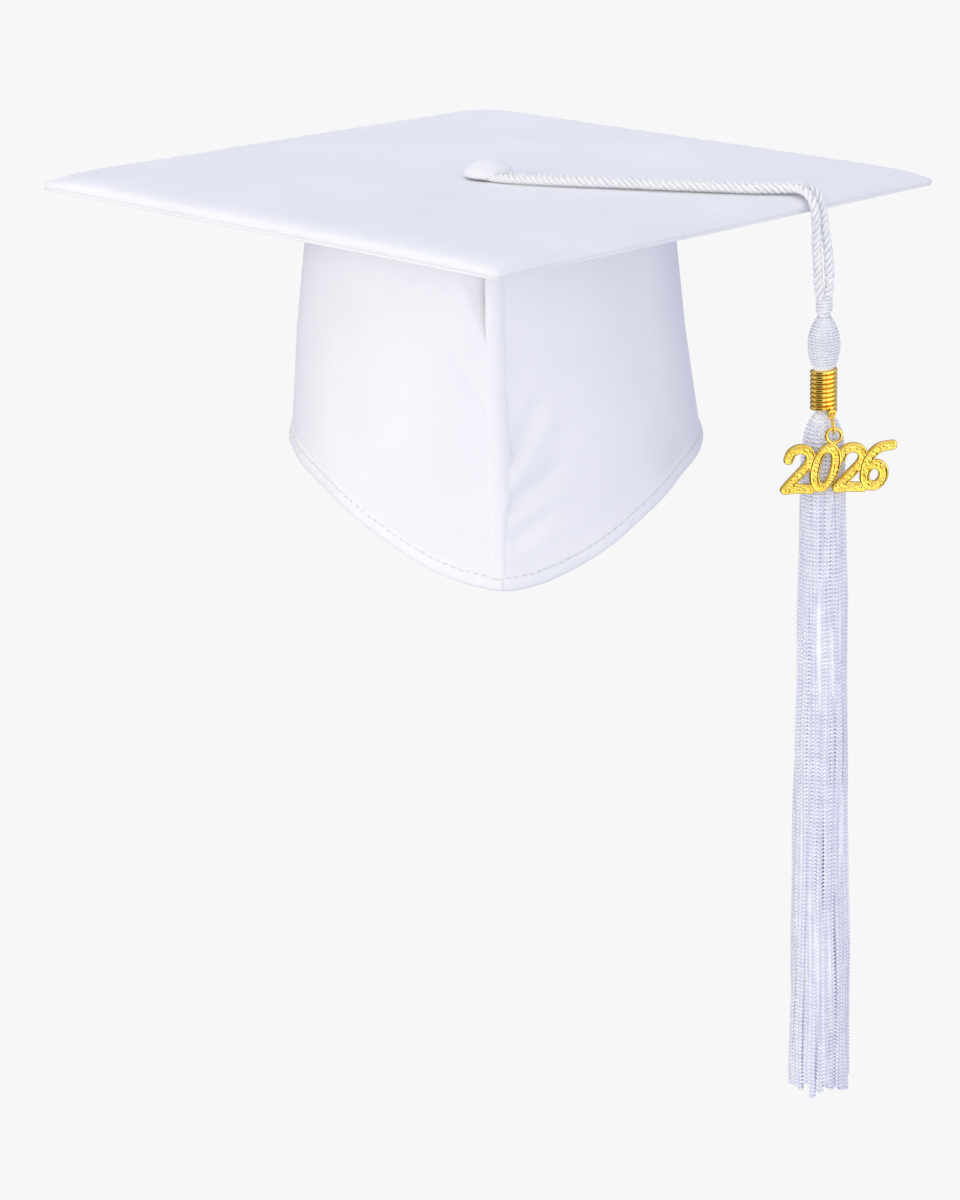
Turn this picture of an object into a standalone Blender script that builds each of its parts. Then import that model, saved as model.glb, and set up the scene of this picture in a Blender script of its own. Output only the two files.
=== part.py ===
"""A graduation cap: a padded square board on a pointed cloth crown, with a corded tassel.

Metres, +Z up. The origin is the middle of the crown's inner ceiling, where a head touches it.
-Y is the front, where the crown has its peak and the board a corner. +X is the wearer's left.
"""

import math

import bmesh
import bpy
from mathutils import Matrix, Vector

MM = 0.001
GAP = 0.3 * MM

# Board: a 9.5 inch square with one corner to the front.
BOARD_SIDE = 241.3 * MM
BOARD_CORNER = 4.5 * MM
EDGE_ROUND = 3.0 * MM
COVER = 0.6 * MM
CORE_THICK = 1.8 * MM
PAD_THICK = 2.0 * MM
BASE_CLOTH = 0.5 * MM

# Crown: an oval wall that flares to the hem, with a ridge down the front.
HALF_WIDTH = 69.4 * MM
HALF_LENGTH = 80.0 * MM
WIDTH_FLARE = 0.113
LENGTH_FLARE = 0.05
RIDGE = 8.0 * MM
RIDGE_REACH = 22.0 * MM
WALL = 1.2 * MM
HEM_SIDE = -95.8 * MM
HEM_PEAK = 32.6 * MM
HEM_POWER = 3.3
HEM_BACK_RISE = 6.0 * MM
BINDING_HIGH = 5.5 * MM
BINDING_WALL = 0.6 * MM
BACK_SEAM = math.radians(150)  # from the front round to where each side panel meets the back one
BACK_SEAM_GAP = math.radians(0.3)
PLATE_THICK = 1.2 * MM
STIFFENER = 0.6 * MM
STIFFENER_DEEP = 62.0 * MM
STIFFENER_SPREAD = math.radians(118)
FRONT_SEAM = 0.65 * MM  # from the middle to each panel's edge, which the strip covers
SEAM_STRIP_WIDE = 7.2 * MM
SEAM_STRIP_THICK = 0.6 * MM
ELASTIC_HIGH = 16.0 * MM

# Heights of the layers, from the crown's ceiling at zero up to the top of the board.
FLANGE_LOW = 2.5 * MM
FLANGE_HIGH = FLANGE_LOW + BASE_CLOTH
BOARD_LOW = FLANGE_HIGH + GAP
CORE_LOW = BOARD_LOW + BASE_CLOTH + GAP
PAD_LOW = CORE_LOW + CORE_THICK + GAP
BOARD_TOP = PAD_LOW + PAD_THICK + GAP + COVER

# Button: a covered dome on a pin that goes down through the board.
PIN_RADIUS = 1.6 * MM
PIN_HOLE = 2.0 * MM
CLINCH_RADIUS = 3.2 * MM
CLINCH_LOW = 1.5 * MM
CLINCH_HIGH = 2.2 * MM
WASHER_RADIUS = 7.0 * MM
BUTTON_RADIUS = 10.3 * MM
BUTTON_DOME = 5.6 * MM

# Cord and tassel.
CORD = 3.8 * MM
CORD_Z = BOARD_TOP + GAP + CORD / 2
TASSEL_LEAN = math.radians(1.2)
SWING_PIVOT = Vector((120.0, -57.4, -0.4)) * MM  # between the two legs, level with the board's edge
NECK_PIVOT = Vector((122.0, -59.3, -27.0)) * MM
NECK_TOP = -1.4 * MM
NECK_BOTTOM = -6.6 * MM
HEAD_BOTTOM = -26.3 * MM
SLEEVE_BOTTOM = -44.0 * MM
SKIRT_BOTTOM = -321.0 * MM
STRANDS = 14
COIL_WIRE = 1.6 * MM
COIL_PITCH = 1.7 * MM
COIL_RADIUS = 4.3 * MM
COIL_TURNS = 9
EYE_ANGLE = math.radians(18)
EYE_REACH = 7.3 * MM
EYE_RADIUS = 1.35 * MM
EYE_WIRE = 0.55 * MM
EYE_Z = -43.0 * MM
LINK_WIRE = 0.45 * MM
LINK_HALF_WIDE = 1.45 * MM
LINK_TOP = Vector((2.26, -6.3, -43.1)) * MM
LINK_FOOT = Vector((2.6, -10.7, -49.1)) * MM
LINK_PIVOT = Vector((2.26, -6.94, -44.35)) * MM  # the lowest wire of the sleeve's eye
CHARM_RING = Vector((2.6, -9.9, -50.4)) * MM
CHARM_THICK = 1.6 * MM
CHARM_UNIT = 1.07 * MM  # what one unit of the numerals' drawing is
RING_RADIUS = 2.75 * MM
RING_WIRE = 0.65 * MM

# The cord's route in mm: from above the neck up one leg, over the board's edge, round the
# button's pin and back down the other leg. Breaks at the swing pivot are cut out below.
LEG_RIGHT = [
    (124.1, -59.3, -26.2), (123.9, -59.1, -22.0), (123.5, -58.7, -16.0), (123.0, -58.0, -10.0),
    (122.3, -56.7, -4.6), (121.7, -56.1, -1.8), (121.4, -55.8, 0.9), (120.9, -55.2, 5.0),
    (119.5, -53.9, 9.1), (117.2, -51.5, 11.3), (113.0, -47.5, 11.5), (97.4, -46.2, 11.4),
    (78.0, -41.4, 11.4), (59.6, -36.2, 11.4), (41.3, -29.9, 11.4), (25.6, -22.5, 11.4),
    (15.0, -14.7, 11.4), (9.0, -7.8, 11.4),
]
PIN_TURN = [(3.5, 2.2, 11.4), (0.9, 4.0, 11.4), (-2.2, 3.5, 11.4), (-4.0, 0.9, 11.4), (-3.5, -2.2, 11.4)]
LEG_LEFT = [
    (3.4, -12.2, 11.4), (11.4, -19.3, 11.4), (23.4, -26.7, 11.4), (39.7, -33.9, 11.4),
    (58.4, -40.2, 11.4), (77.0, -45.4, 11.4), (96.6, -50.4, 11.4), (110.9, -51.1, 11.5),
    (114.2, -54.5, 11.3), (116.5, -56.9, 9.1), (117.9, -58.2, 5.0), (118.4, -58.8, 0.9),
    (118.5, -58.9, -1.8), (118.6, -58.8, -4.6), (118.8, -58.6, -10.0), (119.3, -58.8, -16.0),
    (119.7, -59.1, -22.0), (119.9, -59.3, -26.2),
]
LOOP_FROM = 6  # the point of LEG_RIGHT where the part that rides on the board begins
DROP_TO = 5  # how many of its points hang below the board's edge; the gap leaves room to swing


def clear_scene():
    for thing in list(bpy.data.objects):
        bpy.data.objects.remove(thing, do_unlink=True)


def new_collection(name):
    made = bpy.data.collections.new(name)
    bpy.context.scene.collection.children.link(made)
    return made


def new_material(name, colour, roughness, metallic=0.0):
    made = bpy.data.materials.new(name)
    made.use_nodes = True
    shader = made.node_tree.nodes["Principled BSDF"]
    shader.inputs["Base Color"].default_value = (*colour, 1.0)
    shader.inputs["Roughness"].default_value = roughness
    shader.inputs["Metallic"].default_value = metallic
    made.diffuse_color = (*colour, 1.0)
    return made


def place(name, data, collection, look, location=(0, 0, 0), parent=None):
    made = bpy.data.objects.new(name, data)
    collection.objects.link(made)
    made.location = location
    made.parent = parent
    data.materials.clear()
    data.materials.append(look)
    return made


def smooth(made, angle=40):
    made.data.shade_smooth()
    made.data.set_sharp_from_angle(angle=math.radians(angle))


def new_pivot(name, collection, location, parent=None):
    made = bpy.data.objects.new(name, None)
    collection.objects.link(made)
    made.location = location
    made.parent = parent
    made.empty_display_size = 5 * MM
    return made


def solidify(made, thickness):
    """Thickens an open surface towards its back."""
    wall = made.modifiers.new("wall", "SOLIDIFY")
    wall.thickness = thickness
    wall.offset = -1.0
    wall.use_even_offset = True


def mapped_grid(across, along, where, closed=False):
    """A grid whose points go to where(u, v), with u and v from 0 to 1. Closed also welds its seams."""
    mesh = bpy.data.meshes.new("grid")
    work = bmesh.new()
    bmesh.ops.create_grid(work, x_segments=across, y_segments=along, size=0.5)
    for vertex in work.verts:
        vertex.co = where(vertex.co.x + 0.5, vertex.co.y + 0.5)
    if closed:
        bmesh.ops.remove_doubles(work, verts=work.verts, dist=0.001 * MM)
        bmesh.ops.recalc_face_normals(work, faces=work.faces)
    work.to_mesh(mesh)
    work.free()
    return mesh


def turned(name, profile, collection, look, parent=None, location=(0, 0, 0), steps=40):
    """Turns a profile of (radius, height) points, top to bottom on its outer side, about Z."""
    mesh = bpy.data.meshes.new(name)
    points = [(radius, 0, height) for radius, height in profile]
    edges = [(i, i + 1) for i in range(len(points) - 1)]
    if profile[0][0] > 0:
        edges.append((len(points) - 1, 0))
    mesh.from_pydata(points, edges, [])
    made = place(name, mesh, collection, look, location, parent)
    screw = made.modifiers.new("turn", "SCREW")
    screw.steps = steps
    screw.render_steps = steps
    screw.use_merge_vertices = True
    screw.merge_threshold = 0.00001
    screw.use_smooth_shade = True
    return made


def tube(name, points, radius, collection, look, parent=None, sizes=None, resolution=2, closed=False):
    """A round tube along points, whose radius is times each of sizes."""
    curve = bpy.data.curves.new(name, "CURVE")
    curve.dimensions = "3D"
    curve.bevel_depth = radius
    curve.bevel_resolution = resolution
    curve.use_fill_caps = not closed
    spline = curve.splines.new("POLY")
    spline.points.add(len(points) - 1)
    for i, point in enumerate(points):
        spline.points[i].co = (*point, 1.0)
        spline.points[i].radius = sizes[i] if sizes else 1.0
    spline.use_cyclic_u = closed
    spline.use_smooth = True
    return place(name, curve, collection, look, parent=parent)


def flat(name, outlines, low, high, collection, look, parent=None):
    """A flat piece between two heights. Outlines inside the first one are holes."""
    curve = bpy.data.curves.new(name, "CURVE")
    curve.dimensions = "2D"
    curve.fill_mode = "BOTH"
    curve.extrude = (high - low) / 2
    for outline in outlines:
        spline = curve.splines.new("POLY")
        spline.points.add(len(outline) - 1)
        for i, (x, y) in enumerate(outline):
            spline.points[i].co = (x, y, 0, 1)
        spline.use_cyclic_u = True
    return place(name, curve, collection, look, (0, 0, (low + high) / 2), parent)


def as_mesh(made):
    """The same piece as a mesh object with welded caps, so that a Boolean can take it."""
    bpy.context.view_layer.update()
    graph = bpy.context.evaluated_depsgraph_get()
    mesh = bpy.data.meshes.new_from_object(made.evaluated_get(graph))
    work = bmesh.new()
    work.from_mesh(mesh)
    bmesh.ops.remove_doubles(work, verts=work.verts, dist=0.002 * MM)
    bmesh.ops.recalc_face_normals(work, faces=work.faces)
    work.to_mesh(mesh)
    work.free()
    name = made.name
    solid = bpy.data.objects.new(name + "_solid", mesh)
    made.users_collection[0].objects.link(solid)
    solid.parent = made.parent
    solid.matrix_world = made.matrix_world.copy()
    bpy.data.objects.remove(made)
    solid.name = name
    return solid


def boolean(made, other, operation, cutters):
    """Cuts or joins with another object, which becomes a hidden wire in the cutters' collection."""
    step = made.modifiers.new(operation.lower(), "BOOLEAN")
    step.object = other
    step.operation = operation
    for home in list(other.users_collection):
        home.objects.unlink(other)
    cutters.objects.link(other)
    other.hide_render = True
    other.display_type = "WIRE"


def rounded_square(half, radius, steps=5):
    """A square turned 45 degrees, as points anticlockwise, with its four corners rounded."""
    points = []
    for corner in range(4):
        middle = math.pi / 2 * corner
        reach = (half - radius) * math.sqrt(2)
        for i in range(steps):
            angle = middle + math.pi / 4 * (2 * i / (steps - 1) - 1)
            points.append((
                reach * math.cos(middle) + radius * math.cos(angle),
                reach * math.sin(middle) + radius * math.sin(angle),
            ))
    return points


def circle(radius, steps=32):
    return [
        (radius * math.cos(2 * math.pi * i / steps), radius * math.sin(2 * math.pi * i / steps))
        for i in range(steps)
    ]


def smooth_through(points, per_span):
    """Points on a smooth curve through the given ones, by Catmull-Rom."""
    rows = [Vector(point) for point in points]
    rows = [2 * rows[0] - rows[1], *rows, 2 * rows[-1] - rows[-2]]
    found = []
    for i in range(1, len(rows) - 2):
        before, start, end, after = rows[i - 1:i + 3]
        for k in range(per_span):
            t = k / per_span
            found.append(
                start
                + (end - before) * (t / 2)
                + (2 * before - 5 * start + 4 * end - after) * (t * t / 2)
                + (3 * start - before - 3 * end + after) * (t * t * t / 2)
            )
    found.append(rows[-2])
    return found


# Crown


def crown_point(turn, z, inset=0.0):
    """A point of the crown's outer wall, inset mm inside it. Turn is the angle from the front to +X."""
    half_width = HALF_WIDTH - z * WIDTH_FLARE - inset
    half_length = HALF_LENGTH - z * LENGTH_FLARE - inset
    x = half_width * math.sin(turn)
    ridge = RIDGE * math.exp(-abs(x) / RIDGE_REACH) * max(0.0, math.cos(turn))
    return Vector((x, -half_length * math.cos(turn) - ridge, z))


def hem_height(turn):
    """The height of the crown's lower edge: a peak at the front and a small rise at the back."""
    facing = math.cos(turn)
    if facing > 0:
        return HEM_SIDE - HEM_PEAK * facing ** HEM_POWER
    return HEM_SIDE + HEM_BACK_RISE * facing * facing


def crown_wall(start, end, inset, top, bottom_of, across, along=8):
    """An open piece of the crown's wall, facing out, between two angles."""
    def where(u, v):
        turn = start + (end - start) * u
        low = bottom_of(turn)
        return crown_point(turn, low + (top - low) * v, inset)
    return mapped_grid(across, along, where)


def make_crown(parts, cloth, board_stuff, elastic_look):
    wall_foot = BINDING_WALL + GAP

    def panel_bottom(turn):
        return hem_height(turn) + wall_foot

    seam = FRONT_SEAM / HALF_WIDTH
    behind = BACK_SEAM + BACK_SEAM_GAP
    panels = [
        ("crown_panel_left", seam, BACK_SEAM, 30),
        ("crown_panel_right", -BACK_SEAM, -seam, 30),
        ("crown_panel_back", behind, 2 * math.pi - behind, 12),
    ]
    for name, start, end, across in panels:
        mesh = crown_wall(start, end, 0, FLANGE_HIGH, panel_bottom, across)
        made = place(name, mesh, parts, cloth)
        solidify(made, WALL)
        smooth(made)

    spread = SEAM_STRIP_WIDE / 2 / HALF_WIDTH
    mesh = crown_wall(
        -spread, spread, -(GAP + SEAM_STRIP_THICK), FLANGE_HIGH,
        lambda turn: hem_height(0) + BINDING_HIGH + GAP * 2, 6, 8,
    )
    strip = place("front_seam_strip", mesh, parts, cloth)
    solidify(strip, SEAM_STRIP_THICK)
    smooth(strip)

    stiff_inset = WALL + GAP
    mesh = crown_wall(
        -STIFFENER_SPREAD, STIFFENER_SPREAD, stiff_inset, FLANGE_LOW - GAP,
        lambda turn: -STIFFENER_DEEP, 40, 3,
    )
    stiffener = place("crown_stiffener", mesh, parts, board_stuff)
    solidify(stiffener, STIFFENER)
    smooth(stiffener)

    low = HEM_SIDE + HEM_BACK_RISE + BINDING_HIGH + 1 * MM
    mesh = crown_wall(
        BACK_SEAM, 2 * math.pi - BACK_SEAM, stiff_inset, low + ELASTIC_HIGH,
        lambda turn: low, 12, 2,
    )
    band = place("elastic_band", mesh, parts, elastic_look)
    solidify(band, STIFFENER)
    smooth(band)

    outer = [crown_point(2 * math.pi * i / 64, 0, stiff_inset + STIFFENER + GAP) for i in range(64)]
    flat("crown_plate", [[p.to_2d() for p in outer]], 0, PLATE_THICK, parts, board_stuff)
    rim = [crown_point(2 * math.pi * i / 64, 0, stiff_inset + 4 * GAP) for i in range(64)]
    inner = [crown_point(2 * math.pi * i / 64, 0, 16 * MM).to_2d() for i in range(64)]
    flat("crown_flange", [[p.to_2d() for p in rim], inner], FLANGE_LOW, FLANGE_HIGH, parts, cloth)
    make_binding(parts, cloth)


def make_binding(parts, cloth):
    """The folded hem that wraps the wall's lower edge, as a U swept round it."""
    out = GAP + BINDING_WALL
    inside = WALL + GAP
    section = [
        (out, 0), (out, BINDING_HIGH), (GAP, BINDING_HIGH), (GAP, BINDING_WALL),
        (-inside, BINDING_WALL), (-inside, BINDING_HIGH),
        (-inside - BINDING_WALL, BINDING_HIGH), (-inside - BINDING_WALL, 0),
    ]

    def where(u, v):
        turn = 2 * math.pi * u
        proud, up = section[round(v * len(section)) % len(section)]
        return crown_point(turn, hem_height(turn) + up, -proud)

    mesh = mapped_grid(96, len(section), where, closed=True)
    made = place("hem_binding", mesh, parts, cloth)
    smooth(made)


# Board and button


def board_layer(name, half, low, high, parts, look):
    outlines = [rounded_square(half, BOARD_CORNER), circle(PIN_HOLE)]
    return flat(name, outlines, low, high, parts, look)


def make_board(parts, cutters, cloth, board_stuff, foam):
    inside = BOARD_SIDE / 2 - COVER - GAP
    board_layer("board_cover_bottom", inside, BOARD_LOW, BOARD_LOW + BASE_CLOTH, parts, cloth)
    board_layer("board_core", inside, CORE_LOW, CORE_LOW + CORE_THICK, parts, board_stuff)
    board_layer("board_pad", inside - EDGE_ROUND * 0.6, PAD_LOW, PAD_LOW + PAD_THICK, parts, foam)

    mesh = bpy.data.meshes.new("board_cover_top")
    work = bmesh.new()
    bmesh.ops.create_cube(work, size=1.0)
    high = BOARD_TOP - BOARD_LOW
    bmesh.ops.scale(work, vec=(BOARD_SIDE, BOARD_SIDE, high), verts=work.verts)
    base = [face for face in work.faces if face.normal.z < -0.5]
    bmesh.ops.delete(work, geom=base, context="FACES_ONLY")
    upright = [edge for edge in work.edges if abs(edge.verts[0].co.z - edge.verts[1].co.z) > high / 2]
    bmesh.ops.bevel(work, geom=upright, offset=BOARD_CORNER, segments=3, profile=0.5, affect="EDGES")
    rim = [
        edge for edge in work.edges
        if min(vert.co.z for vert in edge.verts) > high / 2 - 0.01 * MM and len(edge.link_faces) == 2
    ]
    bmesh.ops.bevel(
        work, geom=rim, offset=EDGE_ROUND, segments=4, profile=0.5, affect="EDGES",
        clamp_overlap=True,
    )
    work.to_mesh(mesh)
    work.free()
    cover = place("board_cover_top", mesh, parts, cloth, (0, 0, (BOARD_TOP + BOARD_LOW) / 2))
    cover.rotation_euler = (0, 0, math.pi / 4)
    solidify(cover, COVER)
    hole = place("pin_hole", bpy.data.meshes.new("pin_hole"), parts, cloth, (0, 0, BOARD_TOP))
    work = bmesh.new()
    bmesh.ops.create_cone(
        work, cap_ends=True, segments=32, radius1=PIN_HOLE, radius2=PIN_HOLE, depth=6 * MM
    )
    work.to_mesh(hole.data)
    work.free()
    boolean(cover, hole, "DIFFERENCE", cutters)
    smooth(cover)


def dome(radius, low, rise, steps=8):
    """A dome's outer profile, from its top down to its rim."""
    return [
        (radius * math.sin(math.pi / 2 * i / steps), low + rise * math.cos(math.pi / 2 * i / steps))
        for i in range(steps + 1)
    ]


def make_button(parts, metal, cloth):
    under = CORD_Z + CORD / 2 + GAP
    plate = 0.6 * MM
    plate_radius = BUTTON_RADIUS - 1.3 * MM
    turned("button_pin", [
        (0, under + plate), (plate_radius, under + plate), (plate_radius, under),
        (PIN_RADIUS + 0.2 * MM, under), (PIN_RADIUS, under - 0.3 * MM), (PIN_RADIUS, CLINCH_HIGH),
        (CLINCH_RADIUS, CLINCH_HIGH), (CLINCH_RADIUS, CLINCH_LOW), (0, CLINCH_LOW),
    ], parts, metal, steps=32)
    wall = 0.5 * MM
    low = under + plate + GAP
    shell_radius = BUTTON_RADIUS - COVER - GAP
    rise = BUTTON_DOME - (low - under) - COVER - GAP
    outer = dome(shell_radius, low, rise)
    inner = dome(shell_radius - wall, low, rise - wall)
    turned("button_shell", outer + inner[::-1], parts, metal)
    outer = dome(BUTTON_RADIUS, under + 1.0 * MM, BUTTON_DOME - 1.0 * MM)
    inner = dome(BUTTON_RADIUS - COVER, under + 1.0 * MM, BUTTON_DOME - 1.0 * MM - COVER)
    turned("button_cover", [
        *outer, (BUTTON_RADIUS - 0.15 * MM, under + 0.2 * MM), (BUTTON_RADIUS - 0.8 * MM, under + 0.2 * MM),
        *inner[::-1],
    ], parts, cloth)
    flat("button_washer", [circle(WASHER_RADIUS), circle(PIN_HOLE)], FLANGE_LOW, FLANGE_HIGH, parts, metal)


# Cord and tassel


def make_cord(parts, swing, rope):
    def in_metres(points, start=(0, 0, 0)):
        return [Vector(point) * MM - Vector(start) for point in smooth_through(points, 2)]

    loop = LEG_RIGHT[LOOP_FROM:] + PIN_TURN + LEG_LEFT[:-LOOP_FROM]
    tube("cord_loop", in_metres(loop), CORD / 2, parts, rope)
    tube("cord_drop_right", in_metres(LEG_RIGHT[:DROP_TO], SWING_PIVOT), CORD / 2, parts, rope, swing)
    tube("cord_drop_left", in_metres(LEG_LEFT[-DROP_TO:], SWING_PIVOT), CORD / 2, parts, rope, swing)


def skirt_radius(depth):
    """The skirt's outer radius at a depth below the sleeve."""
    opening = 1 - math.exp(-depth / (6.5 * MM))
    return 4.7 * MM + 3.4 * MM * opening + depth * 0.0105


def make_tassel(parts, axis, rope, strand_look):
    turned("neck_knot", [
        (0, NECK_TOP), (2.6 * MM, NECK_TOP), (3.0 * MM, NECK_TOP - 1.2 * MM),
        (2.9 * MM, NECK_BOTTOM + 1.8 * MM), (2.4 * MM, NECK_BOTTOM), (0, NECK_BOTTOM),
    ], parts, rope, axis, steps=24)
    top = NECK_BOTTOM - GAP
    long = top - HEAD_BOTTOM
    shape = [
        (0.0, 2.3), (0.06, 3.1), (0.18, 4.3), (0.34, 5.4), (0.52, 5.9), (0.70, 5.8), (0.86, 5.3), (1.0, 4.6),
    ]
    side = [(radius * MM, top - share * long) for share, radius in shape]
    turned("tassel_head", [(0, top), *side, (0, HEAD_BOTTOM)], parts, strand_look, axis, steps=28)

    depths = [0, 3, 7, 12, 20, 40, 80, 130, 190, 250]
    full = (SLEEVE_BOTTOM - GAP - SKIRT_BOTTOM) / MM
    slim = COIL_RADIUS - COIL_WIRE / 2 - GAP
    per = math.sin(math.pi / STRANDS)
    core = [(0, HEAD_BOTTOM - GAP), (slim, HEAD_BOTTOM - GAP), (slim, SLEEVE_BOTTOM)]
    rows = []
    for depth in [*depths, full]:
        outer = skirt_radius(depth * MM)
        half = (outer * per - GAP / 2) / (1 + per)
        rows.append((depth * MM, outer - half, half))
        core.append((max(outer - 2 * half - GAP, slim * 0.8), SLEEVE_BOTTOM - GAP - depth * MM))
    core.append((0, SKIRT_BOTTOM))
    turned("skirt_core", core, parts, strand_look, axis, steps=24)
    for i in range(STRANDS):
        angle = 2 * math.pi * (i + 0.5) / STRANDS
        points = [
            (ring * math.sin(angle), -ring * math.cos(angle), SLEEVE_BOTTOM - GAP - depth)
            for depth, ring, half in rows
        ]
        ragged = 4.5 * MM * math.sin(2.4 * i + 0.6)
        points[-1] = (*points[-1][:2], SKIRT_BOTTOM + 2 * MM + ragged)
        sizes = [half / MM for depth, ring, half in rows]
        tube(f"skirt_strand_{i + 1:02d}", points, MM, parts, strand_look, axis, sizes, resolution=1)


def make_sleeve(parts, cutters, axis, gold):
    """A close coil of wire round the tassel, with an eye for the link at its lower front."""
    per_turn = 18
    steps = COIL_TURNS * per_turn + per_turn // 2
    start = SLEEVE_BOTTOM + COIL_WIRE / 2
    points = []
    for i in range(steps + 1):
        angle = EYE_ANGLE + 2 * math.pi * i / per_turn
        height = start + COIL_PITCH * i / per_turn
        points.append((COIL_RADIUS * math.sin(angle), -COIL_RADIUS * math.cos(angle), height))
    coil = as_mesh(tube("coil_sleeve", points, COIL_WIRE / 2, parts, gold, axis))
    facing = Vector((math.sin(EYE_ANGLE), -math.cos(EYE_ANGLE), 0))
    eye_middle = facing * EYE_REACH + Vector((0, 0, EYE_Z))
    side = Vector((math.cos(EYE_ANGLE), math.sin(EYE_ANGLE), 0))
    ring = [
        eye_middle + (side * math.sin(turn) + Vector((0, 0, math.cos(turn)))) * EYE_RADIUS
        for turn in (2 * math.pi * k / 20 for k in range(20))
    ]
    eye = as_mesh(tube("sleeve_eye", ring, EYE_WIRE, parts, gold, axis, closed=True))
    neck = [facing * (COIL_RADIUS - 0.1 * MM), facing * (EYE_REACH + 0.1 * MM)]
    neck = [point + Vector((0, 0, EYE_Z + EYE_RADIUS)) for point in neck]
    stub = as_mesh(tube("sleeve_stub", neck, EYE_WIRE * 0.9, parts, gold, axis))
    boolean(coil, stub, "UNION", cutters)
    boolean(coil, eye, "UNION", cutters)
    smooth(coil, 60)


def make_link(parts, axis, gold):
    """A narrow oval ring of wire from the sleeve's eye to the charm."""
    along = (LINK_FOOT - LINK_TOP).normalized()
    across = along.cross(Vector((1, 0, 0))).normalized()
    straight = (LINK_FOOT - LINK_TOP).length - 2 * LINK_HALF_WIDE
    middle = (LINK_TOP + LINK_FOOT) / 2 - LINK_PIVOT
    points = []
    for end, turn0 in ((1, 0.0), (-1, math.pi)):
        for k in range(9):
            turn = turn0 + math.pi * k / 8
            points.append(
                middle + along * (end * straight / 2)
                + (across * math.cos(turn) + along * math.sin(turn)) * LINK_HALF_WIDE
            )
    tube("charm_link", points, LINK_WIRE, parts, gold, axis, closed=True)


# The year charm, drawn from its ring's centre in its own units: plain slanted figures of one stroke width.
FIGURE_HALF_STROKE = 1.5
TWO_STROKES = [
    [(2.9, 12.2), (4.0, 14.6), (6.6, 15.9), (9.4, 15.2), (10.6, 12.8), (9.7, 10.2), (6.2, 6.4), (2.6, 2.5)],
    [(1.7, 1.5), (5.9, 1.75), (10.6, 1.5)],
]
SIX_STROKES = [[(1.75, 6.9), (2.3, 9.8), (4.2, 13.2), (7.2, 15.6), (11.2, 16.3)]]
SIX_BOWL = (5.1, 5.7)
BOWL_HALF_SIZE = (5.0, 5.6)
BOWL_SLANT = 0.12
FIGURES = {"first_two": (-18.5, -20.4), "second_two": (-0.4, -20.2), "six": (9.1, -20.1)}
ZERO_MIDDLE = (-2.85, -11.35)
ZERO_HALF_SIZE = (5.2, 8.8)
ZERO_SLANT = 0.2


def stroke_outline(stroke, move):
    """The outline of a stroke with round ends."""
    rows = smooth_through([(x, y, 0) for x, y in stroke], 3)
    left, right = [], []
    for i, row in enumerate(rows):
        ahead = rows[min(i + 1, len(rows) - 1)]
        behind = rows[max(i - 1, 0)]
        way = Vector((ahead.x - behind.x, ahead.y - behind.y)).normalized()
        side = Vector((-way.y, way.x)) * FIGURE_HALF_STROKE
        at = Vector((row.x + move[0], row.y + move[1]))
        left.append(at + side)
        right.append(at - side)
    def cap(centre, start_side, turns=5):
        return [
            centre + Matrix.Rotation(-math.pi * k / (turns + 1), 2) @ start_side
            for k in range(1, turns + 1)
        ]
    first = (left[0] + right[0]) / 2
    final = (left[-1] + right[-1]) / 2
    outline = left + cap(final, left[-1] - final) + right[::-1] + cap(first, right[0] - first)
    return [point * CHARM_UNIT for point in outline]


def oval(middle, half_wide, half_high, slant, steps=28):
    """An oval leaning over by slant."""
    points = []
    for k in range(steps):
        turn = 2 * math.pi * k / steps
        up = half_high * math.sin(turn)
        across = half_wide * math.cos(turn) + slant * up
        points.append(Vector((middle[0] + across, middle[1] + up)) * CHARM_UNIT)
    return points


def oval_figure(middle, half_size, slant):
    """The outer and inner outlines of a closed oval stroke."""
    inner = [half - 2 * FIGURE_HALF_STROKE for half in half_size]
    return [oval(middle, *half_size, slant), oval(middle, *inner, slant, 20)]


def make_charm(parts, cutters, axis, gold):
    """Four joined numerals with a hanging ring on top of the second one."""
    shapes = []
    for name in ("first_two", "second_two"):
        shapes += [[stroke_outline(stroke, FIGURES[name])] for stroke in TWO_STROKES]
    move = FIGURES["six"]
    shapes += [[stroke_outline(stroke, move)] for stroke in SIX_STROKES]
    bowl = (move[0] + SIX_BOWL[0], move[1] + SIX_BOWL[1])
    shapes.append(oval_figure(bowl, BOWL_HALF_SIZE, BOWL_SLANT))

    spin = Matrix.Rotation(math.pi / 2, 4, "X")
    half = CHARM_THICK / 2
    zero = oval_figure(ZERO_MIDDLE, ZERO_HALF_SIZE, ZERO_SLANT)
    charm = flat("year_charm", zero, -half, half, parts, gold, axis)
    charm.matrix_local = spin
    charm = as_mesh(charm)
    for k, outlines in enumerate(shapes):
        thick = half - 0.004 * MM * (k + 1)  # no two of the joined faces lie in one plane
        made = flat(f"charm_stroke_{k}", outlines, -thick, thick, parts, gold, axis)
        made.matrix_local = spin
        boolean(charm, as_mesh(made), "UNION", cutters)
    ring = [
        Vector((math.sin(turn), 0, math.cos(turn))) * RING_RADIUS
        for turn in (2 * math.pi * k / 24 for k in range(24))
    ]
    hoop = as_mesh(tube("charm_ring", ring, RING_WIRE, parts, gold, axis, closed=True))
    boolean(charm, hoop, "UNION", cutters)
    smooth(charm, 30)


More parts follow.
